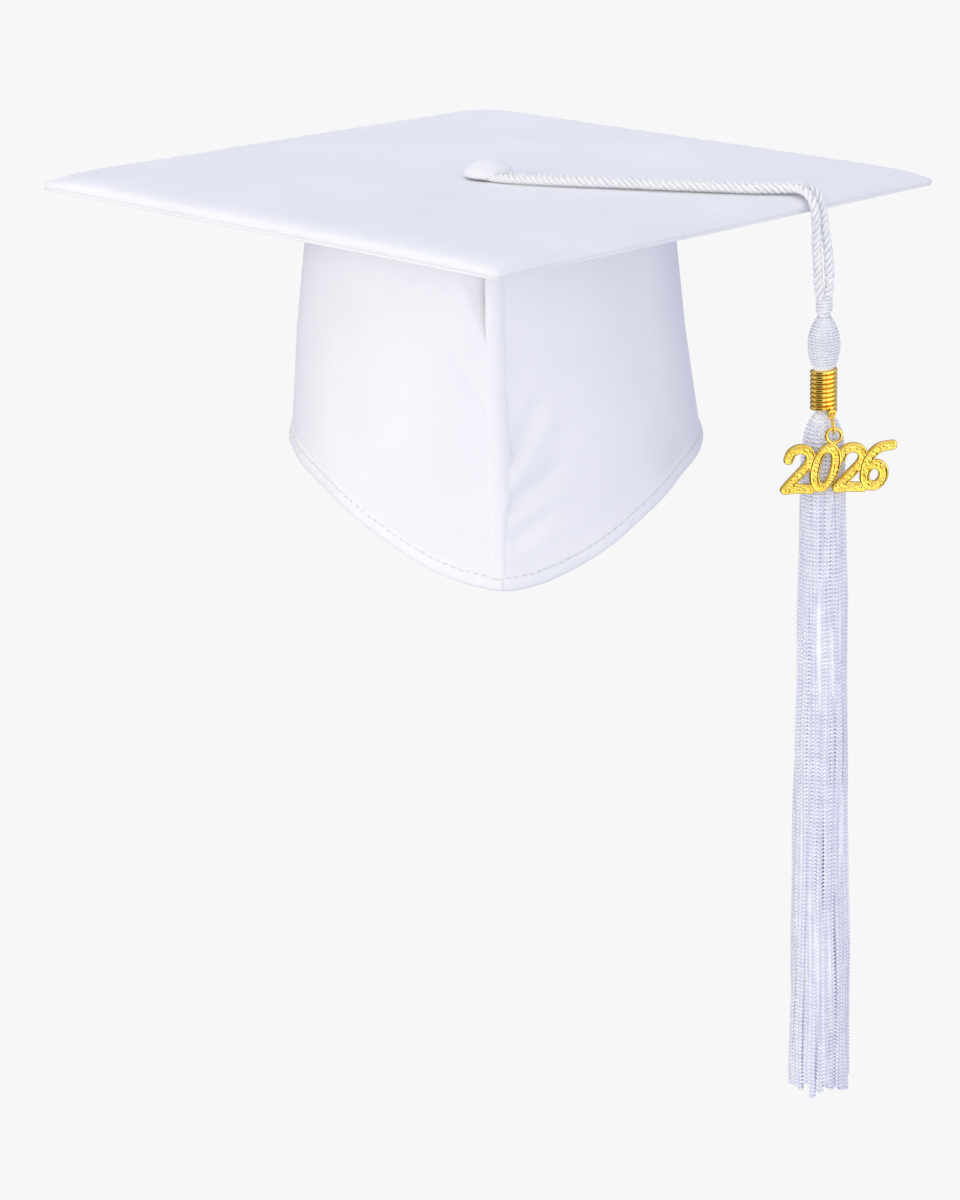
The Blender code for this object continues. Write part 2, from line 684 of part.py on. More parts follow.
def main():
    clear_scene()
    parts = new_collection("graduation_cap")
    cutters = new_collection("cutters")
    cloth = new_material("cap_cloth", (0.88, 0.89, 0.95), 0.75)
    rope = new_material("cord_yarn", (0.90, 0.90, 0.96), 0.6)
    strand_look = new_material("tassel_yarn", (0.87, 0.87, 0.95), 0.55)
    gold = new_material("gold_plate", (0.95, 0.68, 0.15), 0.2, 1.0)
    metal = new_material("pin_metal", (0.6, 0.6, 0.62), 0.35, 1.0)
    board_stuff = new_material("board_stuff", (0.55, 0.52, 0.48), 0.8)
    foam = new_material("foam", (0.9, 0.9, 0.88), 0.9)
    elastic_look = new_material("elastic", (0.85, 0.85, 0.88), 0.7)

    make_crown(parts, cloth, board_stuff, elastic_look)
    make_board(parts, cutters, cloth, board_stuff, foam)
    make_button(parts, metal, cloth)
    swing = new_pivot("swing_axis", parts, SWING_PIVOT)
    make_cord(parts, swing, rope)
    axis = new_pivot("tassel_axis", parts, NECK_PIVOT - SWING_PIVOT, swing)
    axis.rotation_euler = (0, -TASSEL_LEAN, 0)
    link_axis = new_pivot("link_axis", parts, LINK_PIVOT, axis)
    charm_axis = new_pivot("charm_axis", parts, CHARM_RING - LINK_PIVOT, link_axis)
    bpy.context.view_layer.update()
    make_tassel(parts, axis, rope, strand_look)
    make_sleeve(parts, cutters, axis, gold)
    make_link(parts, link_axis, gold)
    make_charm(parts, cutters, charm_axis, gold)
    bpy.context.view_layer.update()


main()
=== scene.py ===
"""A white graduation cap with a corded tassel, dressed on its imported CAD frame. Metres, +Z up."""

import math

import bpy
import numpy as np
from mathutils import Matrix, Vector


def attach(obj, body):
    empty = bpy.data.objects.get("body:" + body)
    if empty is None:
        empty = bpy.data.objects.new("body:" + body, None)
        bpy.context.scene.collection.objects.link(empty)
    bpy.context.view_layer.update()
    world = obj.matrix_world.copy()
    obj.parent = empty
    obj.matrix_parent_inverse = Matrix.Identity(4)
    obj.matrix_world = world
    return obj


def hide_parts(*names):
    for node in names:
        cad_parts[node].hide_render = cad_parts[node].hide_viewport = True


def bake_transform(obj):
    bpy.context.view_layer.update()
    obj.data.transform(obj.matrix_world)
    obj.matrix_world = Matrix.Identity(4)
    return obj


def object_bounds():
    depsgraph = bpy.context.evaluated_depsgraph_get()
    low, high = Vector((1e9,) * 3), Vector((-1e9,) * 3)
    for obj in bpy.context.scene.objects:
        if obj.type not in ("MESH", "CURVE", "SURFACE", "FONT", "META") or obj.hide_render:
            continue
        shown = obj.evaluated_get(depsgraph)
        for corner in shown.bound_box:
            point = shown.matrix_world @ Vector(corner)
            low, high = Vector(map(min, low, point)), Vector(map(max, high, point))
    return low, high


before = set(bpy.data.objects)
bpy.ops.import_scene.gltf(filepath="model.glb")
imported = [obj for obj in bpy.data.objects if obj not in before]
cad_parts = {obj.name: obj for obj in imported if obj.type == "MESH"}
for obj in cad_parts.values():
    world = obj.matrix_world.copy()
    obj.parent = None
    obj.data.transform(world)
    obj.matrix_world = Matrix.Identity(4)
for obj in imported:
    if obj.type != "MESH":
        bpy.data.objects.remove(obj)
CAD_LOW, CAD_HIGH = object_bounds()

MM = 0.001
TAU = 2 * math.pi

# Camera and room
CAMERA_AT = (-0.0146, -1.1028, 0.2043)
CAMERA_WAY = (0.02952, 0.95821, -0.28453)
LENS = 87.4
SHIFT = (-0.05, -0.08)
SENSOR = 36
BACKDROP = (0.93, 0.93, 0.93)
FLOOR_DROP = 45 * MM
FLOOR_SIZE, FLOOR_BACK = 60, 6  # metres
WORLD_FACING = (0.06, -0.98, 0.44)  # where the room is brightest
WORLD_LOW = (0.365, 0.39, 0.62)
WORLD_HIGH = (0.955, 0.965, 1.0)
AIM = (0.02, 0.0, -0.03)
AIM_GOLD = (0.123, -0.06, -0.07)
LIGHTS = [  # name, place, width, height, colour and power; all point at AIM
    ("key", (-2.1, -0.9, 0.35), 1.3, 1.1, (1.0, 0.94, 0.64), 16.2),
    ("front", (-0.1, -2.0, 0.1), 1.0, 1.0, (1.0, 0.98, 0.99), 4.1),
    ("top", (-0.3, 1.2, 1.6), 1.6, 1.6, (0.98, 0.98, 1.0), 7.6),
]
CARDS = [  # name, place, width, height and colour; seen only in reflections
    ("dark_card", (-1.2, -0.85, -0.1), 3.6, 2.4, (0.015, 0.01, 0.01)),
    ("dark_card_back", (-1.0, 0.7, -0.1), 3.2, 2.4, (0.015, 0.01, 0.01)),
    ("bright_card", (1.1, -0.8, 0.1), 1.5, 1.6, (2.0, 1.9, 1.6)),
]

# Sizes repeated from the CAD
BOARD_HALF = 120.65
BOARD_LOW = 3.3
NECK_PIVOT = np.array([122.0, -59.3, -27.0])
LEAN = math.radians(1.2)
NECK_TOP, NECK_BOTTOM, HEAD_BOTTOM, SLEEVE_BOTTOM, SKIRT_BOTTOM = -1.4, -6.6, -26.3, -44.0, -321.0
LEG_RIGHT = [
    (122.9, -59.3, -28.4), (123.4, -59.2, -25.6), (123.8, -59.1, -22.0), (123.5, -58.7, -16.0),
    (123.0, -58.0, -10.0), (122.3, -56.7, -4.6), (121.7, -56.1, -1.8), (121.4, -55.8, 0.9),
    (120.9, -55.2, 5.0), (119.5, -53.9, 9.1), (117.2, -51.5, 11.3), (113.0, -47.5, 11.5),
    (97.4, -46.2, 11.4), (78.0, -41.4, 11.4), (59.6, -36.2, 11.4), (41.3, -29.9, 11.4),
    (25.6, -22.5, 11.4), (15.0, -14.7, 11.2), (9.0, -7.8, 10.7),
]
PIN_TURN = [(3.5, 2.2, 10.6), (0.9, 4.0, 10.6), (-2.2, 3.5, 10.6), (-4.0, 0.9, 10.6), (-3.5, -2.2, 10.6)]
LEG_LEFT = [
    (3.4, -12.2, 10.9), (11.4, -19.3, 11.3), (23.4, -26.7, 11.4), (39.7, -33.9, 11.4),
    (58.4, -40.2, 11.4), (77.0, -45.4, 11.4), (96.6, -50.4, 11.4), (110.9, -51.1, 11.5),
    (114.2, -54.5, 11.3), (116.5, -56.9, 9.1), (117.9, -58.2, 5.0), (118.4, -58.8, 0.9),
    (118.5, -58.9, -1.8), (118.6, -58.8, -4.6), (118.8, -58.6, -10.0), (119.3, -58.8, -16.0),
    (119.7, -59.1, -22.0), (120.3, -59.2, -25.6), (121.0, -59.3, -28.4),
]
random = np.random.RandomState(26)


# Mesh tools. Points are in mm until a piece is made.


def piece(name, co, faces, look, body=None, uv=None, replaces=()):
    """A mesh object from rows of points in mm and faces that all have the same number of corners."""
    faces = np.asarray(faces, np.int32)
    count, corners = faces.shape
    mesh = bpy.data.meshes.new(name)
    mesh.vertices.add(len(co))
    mesh.vertices.foreach_set("co", (np.asarray(co) * MM).astype(np.float32).ravel())
    mesh.loops.add(count * corners)
    mesh.loops.foreach_set("vertex_index", faces.ravel())
    mesh.polygons.add(count)
    mesh.polygons.foreach_set("loop_start", np.arange(0, count * corners, corners, dtype=np.int32))
    if uv is not None:
        layer = mesh.uv_layers.new(name="UVMap")
        layer.data.foreach_set("uv", np.asarray(uv, np.float32)[faces.ravel()].ravel())
    mesh.update(calc_edges=True)
    mesh.validate()
    mesh.shade_smooth()
    mesh.materials.append(look)
    made = bpy.data.objects.new(name, mesh)
    bpy.context.scene.collection.objects.link(made)
    if body:
        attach(made, body)
    if replaces:
        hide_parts(*replaces)
    return made


def grid_faces(rows, cols, wrap=False, start=0):
    """Faces of a grid of points laid out row by row. Wrap joins the last column to the first."""
    i = np.arange(rows - 1)[:, None]
    j = np.arange(cols if wrap else cols - 1)[None, :]
    ahead = (j + 1) % cols
    quads = np.stack([i * cols + j, i * cols + ahead, (i + 1) * cols + ahead, (i + 1) * cols + j], -1)
    return quads.reshape(-1, 4) + start


def joined(parts):
    """One set of points, faces and UVs out of several (points, faces, uv)."""
    co, faces, uv, start = [], [], [], 0
    for points, quads, places in parts:
        co.append(points)
        faces.append(quads + start)
        uv.append(places)
        start += len(points)
    return np.concatenate(co), np.concatenate(faces), np.concatenate(uv)


def smooth_through(points, step):
    """Points about step apart on a Catmull-Rom curve through the given ones."""
    rows = np.array(points, float)
    rows = np.vstack([2 * rows[0] - rows[1], rows, 2 * rows[-1] - rows[-2]])
    t = np.linspace(0, 1, 24, endpoint=False)[:, None]
    found = []
    for a, b, c, d in zip(rows, rows[1:], rows[2:], rows[3:]):
        square, cube = 2 * a - 5 * b + 4 * c - d, 3 * b - a - 3 * c + d
        found.append(b + (c - a) * t / 2 + square * t ** 2 / 2 + cube * t ** 3 / 2)
    found = np.vstack([*found, rows[-2:-1]])
    along = np.concatenate([[0], np.cumsum(np.linalg.norm(np.diff(found, axis=0), axis=1))])
    wanted = np.linspace(0, along[-1], max(2, int(along[-1] / step)))
    return np.stack([np.interp(wanted, along, found[:, k]) for k in range(3)], 1)


def frames(path, closed=False):
    """Unit vectors along, out and aside at each point of a path, with the least twist."""
    if closed:
        along = np.roll(path, -1, 0) - np.roll(path, 1, 0)
    else:
        along = np.gradient(path, axis=0)
    along /= np.linalg.norm(along, axis=1)[:, None]
    out = np.zeros_like(path)
    first = np.array([0, 0, 1.0]) if abs(along[0][2]) < 0.8 else np.array([0, -1.0, 0])
    now = first - along[0] * (first @ along[0])
    for i, way in enumerate(along):
        now = now - way * (now @ way)
        now /= np.linalg.norm(now)
        out[i] = now
    return along, out, np.cross(along, out)


def tube(path, radius, sides=8, closed=False, capped=True):
    """A round tube as points, faces and UVs: u is the distance along in mm, v the share round."""
    path = np.asarray(path, float)
    radius = np.broadcast_to(np.asarray(radius, float), (len(path),))
    along, out, aside = frames(path, closed)
    reach = np.concatenate([[0], np.cumsum(np.linalg.norm(np.diff(path, axis=0), axis=1))])
    if capped and not closed:
        tip = 0.5 * radius[0], 0.5 * radius[-1]
        path = np.vstack([path[0] - along[0] * tip[0], path, path[-1] + along[-1] * tip[1]])
        radius = np.concatenate([[radius[0] * 0.05], radius, [radius[-1] * 0.05]])
        out, aside = [np.vstack([v[:1], v, v[-1:]]) for v in (out, aside)]
        reach = np.concatenate([[reach[0]], reach, [reach[-1]]])
    turn = TAU * np.arange(sides) / sides
    ring = out[:, None] * np.cos(turn)[None, :, None] + aside[:, None] * np.sin(turn)[None, :, None]
    co = path[:, None] + ring * radius[:, None, None]
    uv = np.stack(np.broadcast_arrays(reach[:, None], (turn / TAU)[None, :]), -1)
    faces = grid_faces(len(path), sides, wrap=True)
    if closed:
        last = (len(path) - 1) * sides
        j = np.arange(sides)
        ahead = (j + 1) % sides
        faces = np.vstack([faces, np.stack([last + j, last + ahead, ahead, j], 1)])
    return co.reshape(-1, 3), faces, uv.reshape(-1, 2)


def turned(profile, sides=48, wave=None):
    """Turns (radius, height) rows about Z. Wave(turn, height) is what to add to the radius."""
    profile = np.asarray(profile, float)
    turn = TAU * np.arange(sides) / sides
    radius = profile[:, :1] + (wave(turn[None, :], profile[:, 1:]) if wave else 0)
    radius = np.broadcast_to(radius, (len(profile), sides))
    height = np.broadcast_to(profile[:, 1:], radius.shape)
    co = np.stack([radius * np.sin(turn), -radius * np.cos(turn), height], -1)
    uv = np.stack(np.broadcast_arrays(profile[:, 1:], turn[None, :] * profile[:, 0].max()), -1)
    return co.reshape(-1, 3), grid_faces(len(profile), sides, wrap=True), uv.reshape(-1, 2)


def hanging(co):
    """Points of the tassel's own frame put in place: it leans a little and hangs from the neck's pivot."""
    x, y, z = np.asarray(co, float).T
    c, s = math.cos(-LEAN), math.sin(-LEAN)
    return np.stack([x * c + z * s, y, -x * s + z * c], 1) + NECK_PIVOT


def pillar(radius, angle, z):
    """Points at a radius and an angle from the front about Z, and at a height."""
    return np.stack([radius * np.sin(angle), -radius * np.cos(angle), z + 0 * angle], 1)


def dress(node, look):
    """Gives a CAD solid that is shown as it is a look."""
    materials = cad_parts[node].data.materials
    materials.clear()
    materials.append(look)


def ripple(x, waves, seed):
    """A smooth random wave of height about 1 over x, out of a few sines."""
    chance = np.random.RandomState(seed)
    total = np.zeros(np.shape(x))
    for period in waves:
        length = period * chance.uniform(0.85, 1.15)
        total = total + np.sin(TAU * np.asarray(x) / length + chance.uniform(0, TAU))
    return total / math.sqrt(len(waves))


# Looks


class Look:
    """Builds a material's nodes, with each node fed by name."""

    def __init__(self, name, colour, roughness, metallic=0.0, sheen=0.0, specular=0.5):
        self.material = bpy.data.materials.new(name)
        self.material.use_nodes = True
        self.tree = self.material.node_tree
        self.shader = self.tree.nodes["Principled BSDF"]
        self.shader.inputs["Base Color"].default_value = (*colour, 1)
        self.shader.inputs["Roughness"].default_value = roughness
        self.shader.inputs["Metallic"].default_value = metallic
        self.shader.inputs["Sheen Weight"].default_value = sheen
        self.shader.inputs["Sheen Roughness"].default_value = 0.45
        self.shader.inputs["Specular IOR Level"].default_value = specular

    def node(self, kind, values=(), **settings):
        made = self.tree.nodes.new(kind)
        for key, value in settings.items():
            setattr(made, key, value)
        for key, value in dict(values).items():
            if isinstance(value, bpy.types.NodeSocket):
                self.tree.links.new(value, made.inputs[key])
            else:
                made.inputs[key].default_value = value
        return made

    def coordinates(self, kind, scale, spin=0.0):
        start = self.node("ShaderNodeTexCoord").outputs[kind]
        return self.node(
            "ShaderNodeMapping", {"Vector": start, "Scale": scale, "Rotation": (0, 0, spin)},
        ).outputs[0]

    def noise(self, where, scale, detail=3.0, roughness=0.5):
        return self.node(
            "ShaderNodeTexNoise",
            {"Vector": where, "Scale": scale, "Detail": detail, "Roughness": roughness},
        ).outputs["Fac"]

    def bands(self, where, period, distortion=0.0):
        """Soft bands across X with the period in the coordinates' own unit."""
        return self.node(
            "ShaderNodeTexWave", {"Vector": where, "Scale": TAU / 20 / period, "Distortion": distortion},
            bands_direction="X",
        ).outputs["Fac"]

    def sums(self, a, b, operation="ADD"):
        return self.node("ShaderNodeMath", {0: a, 1: b}, operation=operation).outputs[0]

    def colours(self, share, low, high, at=(0.0, 1.0)):
        ramp = self.node("ShaderNodeValToRGB", {"Fac": share})
        ramp.color_ramp.elements[0].position, ramp.color_ramp.elements[1].position = at
        ramp.color_ramp.elements[0].color = (*low, 1)
        ramp.color_ramp.elements[1].color = (*high, 1)
        self.tree.links.new(ramp.outputs[0], self.shader.inputs["Base Color"])

    def rough(self, share, low, high):
        spread = self.node("ShaderNodeMapRange", {"Value": share, "To Min": low, "To Max": high})
        self.tree.links.new(spread.outputs[0], self.shader.inputs["Roughness"])

    def bump(self, height, distance, strength=1.0):
        before = self.shader.inputs["Normal"].links
        values = {"Height": height, "Distance": distance, "Strength": strength}
        if before:
            values["Normal"] = before[0].from_socket
        made = self.node("ShaderNodeBump", values)
        self.tree.links.new(made.outputs[0], self.shader.inputs["Normal"])


def cloth_look(name, low, high):
    """A fine twill of smooth yarn. Its UVs are in mm."""
    look = Look(name, high, 0.62, sheen=0.25, specular=0.35)
    where = look.coordinates("UV", (1, 1, 1))
    warp = look.bands(look.coordinates("UV", (1, 1, 1), math.radians(63)), 0.42, 0.4)
    weft = look.bands(look.coordinates("UV", (1, 1, 1), math.radians(90)), 0.36, 0.3)
    # The broad noise darkens and blues the cloth in soft patches: painted shade of wrinkles. The slub's thin
    # streaks are the yarn's own tone.
    broad = look.noise(where, 0.018, 4.0)
    slub = look.noise(look.coordinates("UV", (0.12, 2.6, 1)), 1.0, 2.0)
    look.colours(look.sums(broad, look.sums(slub, 0.12, "MULTIPLY")), low, high, (0.45, 0.85))
    look.rough(broad, 0.55, 0.7)
    look.bump(look.sums(warp, look.sums(weft, 0.6, "MULTIPLY")), 0.00004, 0.6)
    look.bump(look.noise(where, 0.09, 3.0), 0.0006, 0.35)
    return look.material


def yarn_look(name, low, high, slant, fibres=0.22):
    """Twisted bright filament yarn. UV is mm along and the share of a turn round it."""
    look = Look(name, high, 0.42, sheen=0.35, specular=0.5)
    where = look.coordinates("UV", (1, 6, 1), slant)
    fibre = look.bands(where, fibres, 1.2)
    patches = look.noise(look.coordinates("UV", (0.2, 1, 1)), 2.0, 3.0)
    look.colours(look.sums(look.sums(fibre, 0.5, "MULTIPLY"), patches), low, high, (0.35, 0.95))
    look.bump(fibre, 0.00006, 0.7)
    return look.material


def stitch_look(name, low, high):
    """Chain-stitched yarn, whose stitches are modelled."""
    look = Look(name, high, 0.45, sheen=0.3, specular=0.45)
    where = look.coordinates("Object", (1, 1, 1))
    fine = look.noise(where, 5200.0, 2.0)
    broad = look.noise(where, 210.0, 2.0)
    look.colours(look.sums(look.sums(fine, 0.3, "MULTIPLY"), broad), low, high, (0.45, 0.9))
    look.bump(fine, 0.00005, 0.5)
    return look.material


def metal_look(name, low, high, roughness, grain, depth):
    look = Look(name, high, roughness, metallic=1.0)
    where = look.coordinates("Object", (1, 1, 1))
    wear = look.noise(where, 320.0, 4.0)
    look.colours(wear, low, high, (0.3, 0.75))
    look.rough(look.noise(where, 900.0, 3.0), roughness * 0.7, roughness * 1.5)
    look.bump(look.noise(where, grain, 3.0), depth, 0.5)
    return look.material


def board_look(name, low, high):
    look = Look(name, high, 0.85, specular=0.2)
    where = look.coordinates("Object", (1, 1, 1))
    fibre = look.noise(look.coordinates("Object", (1, 0.25, 1)), 900.0, 5.0)
    look.colours(look.sums(fibre, look.noise(where, 40.0), "MULTIPLY"), low, high, (0.1, 0.45))
    look.bump(fibre, 0.0001, 0.5)
    return look.material


# The cap twill's darker, bluer low colour is painted wrinkle shade, laid in broad random patches.
CLOTH = cloth_look("cap_twill", (0.838, 0.840, 0.880), (0.893, 0.893, 0.918))
# The inside look is the cap's twill made darker and bluer: painted shade.
LINING_PAINTED_SHADE = cloth_look("cap_twill_inside_painted_shade", (0.62, 0.635, 0.72), (0.73, 0.745, 0.82))
ROPE = yarn_look("cord_filament", (0.93, 0.935, 0.965), (0.98, 0.98, 0.985), 0.9)
STITCH = stitch_look("chainette", (0.86, 0.875, 0.94), (0.95, 0.955, 0.98))
INNER = stitch_look("chainette_inside", (0.88, 0.89, 0.95), (0.95, 0.955, 0.98))
# A darker, bluer copy of the chainette for each strand's core: painted shade in the gaps between the
# stitches.
VALLEY_PAINTED_SHADE = stitch_look("chainette_painted_shade", (0.60, 0.62, 0.80), (0.72, 0.74, 0.88))
THREAD = yarn_look("sewing_thread", (0.84, 0.85, 0.90), (0.94, 0.94, 0.97), 0.6)
GOLD = metal_look("gold_bright", (0.92, 0.58, 0.08), (1.0, 0.70, 0.16), 0.15, 700.0, 0.00004)
GOLD_CAST = metal_look("gold_cast", (0.90, 0.58, 0.07), (1.0, 0.74, 0.17), 0.22, 2600.0, 0.00008)
STEEL = metal_look("pin_steel", (0.35, 0.35, 0.37), (0.62, 0.62, 0.65), 0.35, 1500.0, 0.00004)
BOARD = board_look("grey_board", (0.30, 0.27, 0.22), (0.56, 0.52, 0.45))
BUCKRAM = board_look("buckram", (0.55, 0.55, 0.58), (0.76, 0.76, 0.80))
ELASTIC = yarn_look("elastic_weave", (0.60, 0.61, 0.68), (0.80, 0.81, 0.87), 0.0, 0.9)


# Camera, room and lights


def make_room():
    data = bpy.data.cameras.new("camera")
    data.lens = LENS
    data.sensor_width = SENSOR
    data.shift_x, data.shift_y = SHIFT
    camera = bpy.data.objects.new("camera", data)
    bpy.context.scene.collection.objects.link(camera)
    camera.location = CAMERA_AT
    camera.rotation_mode = "QUATERNION"
    camera.rotation_quaternion = Vector(CAMERA_WAY).to_track_quat("-Z", "Y")
    bpy.context.scene.camera = camera
    bpy.context.scene.view_settings.view_transform = "Standard"

    world = bpy.data.worlds.new("studio")
    bpy.context.scene.world = world
    world.use_nodes = True
    tree = world.node_tree
    tree.nodes.clear()
    out = tree.nodes.new("ShaderNodeOutputWorld")
    mix = tree.nodes.new("ShaderNodeMixShader")
    seen = tree.nodes.new("ShaderNodeBackground")
    glow = tree.nodes.new("ShaderNodeBackground")
    path = tree.nodes.new("ShaderNodeLightPath")
    place = tree.nodes.new("ShaderNodeTexCoord")
    facing = tree.nodes.new("ShaderNodeVectorMath")
    facing.operation = "DOT_PRODUCT"
    facing.inputs[1].default_value = Vector(WORLD_FACING).normalized()
    ramp = tree.nodes.new("ShaderNodeValToRGB")
    spread = tree.nodes.new("ShaderNodeMapRange")
    seen.inputs["Color"].default_value = (*BACKDROP, 1)
    spread.inputs["From Min"].default_value = -1
    ramp.color_ramp.elements[0].color = (*WORLD_LOW, 1)
    ramp.color_ramp.elements[1].color = (*WORLD_HIGH, 1)
    tree.links.new(place.outputs["Generated"], facing.inputs[0])
    tree.links.new(facing.outputs["Value"], spread.inputs["Value"])
    tree.links.new(spread.outputs[0], ramp.inputs["Fac"])
    tree.links.new(ramp.outputs[0], glow.inputs["Color"])
    tree.links.new(path.outputs["Is Camera Ray"], mix.inputs[0])
    tree.links.new(glow.outputs[0], mix.inputs[1])
    tree.links.new(seen.outputs[0], mix.inputs[2])
    tree.links.new(mix.outputs[0], out.inputs["Surface"])

    floor_z = CAD_LOW.z - FLOOR_DROP
    floor = stage_plane("floor", (0, FLOOR_BACK, floor_z), (0, 0, 1), FLOOR_SIZE, FLOOR_SIZE, BACKDROP)
    floor.visible_diffuse = False
    floor.visible_glossy = False
    floor.visible_shadow = False
    for name, at, width, height, colour, power in LIGHTS:
        lamp = bpy.data.lights.new(name, "AREA")
        lamp.shape = "RECTANGLE"
        lamp.size, lamp.size_y = width, height
        lamp.energy = power
        lamp.color = colour
        made = bpy.data.objects.new(name, lamp)
        bpy.context.scene.collection.objects.link(made)
        made.location = at
        made.rotation_euler = (Vector(AIM) - Vector(at)).to_track_quat("-Z", "Y").to_euler()
        made.visible_camera = False
    for name, at, width, height, colour in CARDS:
        card = stage_plane(name, at, Vector(AIM_GOLD) - Vector(at), width, height, colour)
        card.visible_camera = False
        card.visible_diffuse = False
        card.visible_shadow = False


def stage_plane(name, at, normal, width, height, colour):
    """A glowing flat card that only dresses the room."""
    mesh = bpy.data.meshes.new(name)
    x, y = width / 2, height / 2
    mesh.from_pydata([(-x, -y, 0), (x, -y, 0), (x, y, 0), (-x, y, 0)], [], [(0, 1, 2, 3)])
    made = bpy.data.objects.new(name, mesh)
    bpy.context.scene.collection.objects.link(made)
    made.location = at
    made.rotation_euler = Vector(normal).to_track_quat("Z", "Y").to_euler()
    material = bpy.data.materials.new(name)
    material.use_nodes = True
    tree = material.node_tree
    tree.nodes.clear()
    glow = tree.nodes.new("ShaderNodeEmission")
    out = tree.nodes.new("ShaderNodeOutputMaterial")
    glow.inputs["Color"].default_value = (*colour, 1)
    tree.links.new(glow.outputs[0], out.inputs["Surface"])
    mesh.materials.append(material)
    return made


# The cord


PLIES, PLY_RADIUS, PLY_OFFSET, ROPE_LAY = 3, 0.83, 1.04, 7.4
PAD_DIP, PAD_REACH = 2.0, 40  # how deep the button draws the padding, and how far out


def pad_dip(away):
    """How far the button's pull draws the padding down, in mm, at a distance from the board's middle."""
    return PAD_DIP * np.exp(-(away / PAD_REACH) ** 2)


def make_cord():
    route = smooth_through(LEG_RIGHT + PIN_TURN + LEG_LEFT, 0.6)
    route[:, 2] -= pad_dip(np.hypot(route[:, 0], route[:, 1]))
    out, aside = frames(route)[1:]
    reach = np.concatenate([[0], np.cumsum(np.linalg.norm(np.diff(route, axis=0), axis=1))])
    parts = []
    for k in range(PLIES):
        turn = TAU * (reach / ROPE_LAY + k / PLIES) + 0.25 * ripple(reach, (31, 47), 5)
        wobble = PLY_OFFSET * (1 + 0.05 * ripple(reach, (9, 23), 11 + k))
        middle = route + (out * np.cos(turn)[:, None] + aside * np.sin(turn)[:, None]) * wobble[:, None]
        parts.append(tube(middle, PLY_RADIUS * (1 + 0.04 * ripple(reach, (5, 17), 3 + k)), 7))
    co, faces, uv = joined(parts)
    made = piece("twisted_cord", co, faces, ROPE, uv=uv,
                 replaces=("cord_loop", "cord_drop_right", "cord_drop_left"))
    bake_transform(made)


# The crown


WALL_RADIUS = 80.0  # turns an angle round the crown into a distance along its wall
HALF_WIDTH, WIDTH_FLARE = 69.4, 0.113  # at height zero, and what each mm down adds
HALF_LENGTH, LENGTH_FLARE = 80.0, 0.05
HEM_SIDE, HEM_FRONT_DROP, HEM_BACK_RISE = -95.8, 32.6, 6.0
CROWN_TOP = 3.1
BACK_SEAM = math.radians(150)
SEAM_HALF_GAP = 0.65
BUCKRAM_SPREAD = math.radians(118)
BUCKRAM_FOOT, BUCKRAM_TOP = -62.0, 2.2
ELASTIC_FOOT, ELASTIC_TALL, ELASTIC_RADIUS = -83.3, 16.0, 82
HEM_COLUMNS, HEM_STITCHES = 560, 182
RIDGE, RIDGE_REACH, RIDGE_ROUND = 8.0, 22.0, 2.6
CREASES = [  # distance from the front seam and height of both ends, half width, depth
    (-15.0, -44.0, -6.4, -55.5, 2.0, 0.9), (-12.0, -74.5, -5.0, -82.5, 2.2, 0.5),
    (-18.0, -91.0, -6.0, -96.0, 3.2, 0.4), (-14.0, -111.0, -6.0, -116.0, 2.4, 0.3),
    (6.2, -78.5, 15.5, -60.5, 3.6, 1.0), (5.6, -88.0, 19.5, -67.5, 3.6, -0.9),
    (4.8, -96.5, 21.0, -85.5, 3.4, 1.1), (4.8, -110.0, 17.0, -101.5, 3.0, 0.8),
    (5.0, -103.0, 24.0, -94.0, 3.2, -0.5), (3.0, -115.0, 15.0, -110.5, 3.0, -0.5),
    (5.5, -58.0, 12.0, -46.0, 3.6, 0.4), (-70.0, -20.0, -62.0, -75.0, 9.0, 0.4),
    (60.0, -15.0, 74.0, -80.0, 10.0, 0.5), (30.0, -110.0, 52.0, -96.0, 4.0, 0.3),
]
TUCK_FOOT, TUCK_SPREAD, TUCK_DEEP = -39.5, 0.42, 3.1


def hem_height(turn):
    facing = np.cos(turn)
    front = HEM_SIDE - HEM_FRONT_DROP * np.maximum(facing, 0) ** 3.3
    return np.where(facing > 0, front, HEM_SIDE + HEM_BACK_RISE * facing ** 2)


def crease_relief(arc, z):
    """How far the cloth sinks, in mm, at a distance from the front seam and a height."""
    total = np.zeros(np.broadcast(arc, z).shape)
    for x0, z0, x1, z1, wide, deep in CREASES:
        way = np.array([x1 - x0, z1 - z0])
        share = np.clip(((arc - x0) * way[0] + (z - z0) * way[1]) / (way @ way), 0, 1)
        apart = np.hypot(arc - x0 - share * way[0], z - z0 - share * way[1])
        total = total + deep * np.exp(-(apart / wide) ** 2)
    wide = np.clip((z - TUCK_FOOT) * TUCK_SPREAD, 0.1, 12)
    tuck = np.clip((arc + 3.0 + wide) / wide, 0, 1) * (arc < 0) * np.clip(wide / 8, 0, 1)
    return total + TUCK_DEEP * tuck


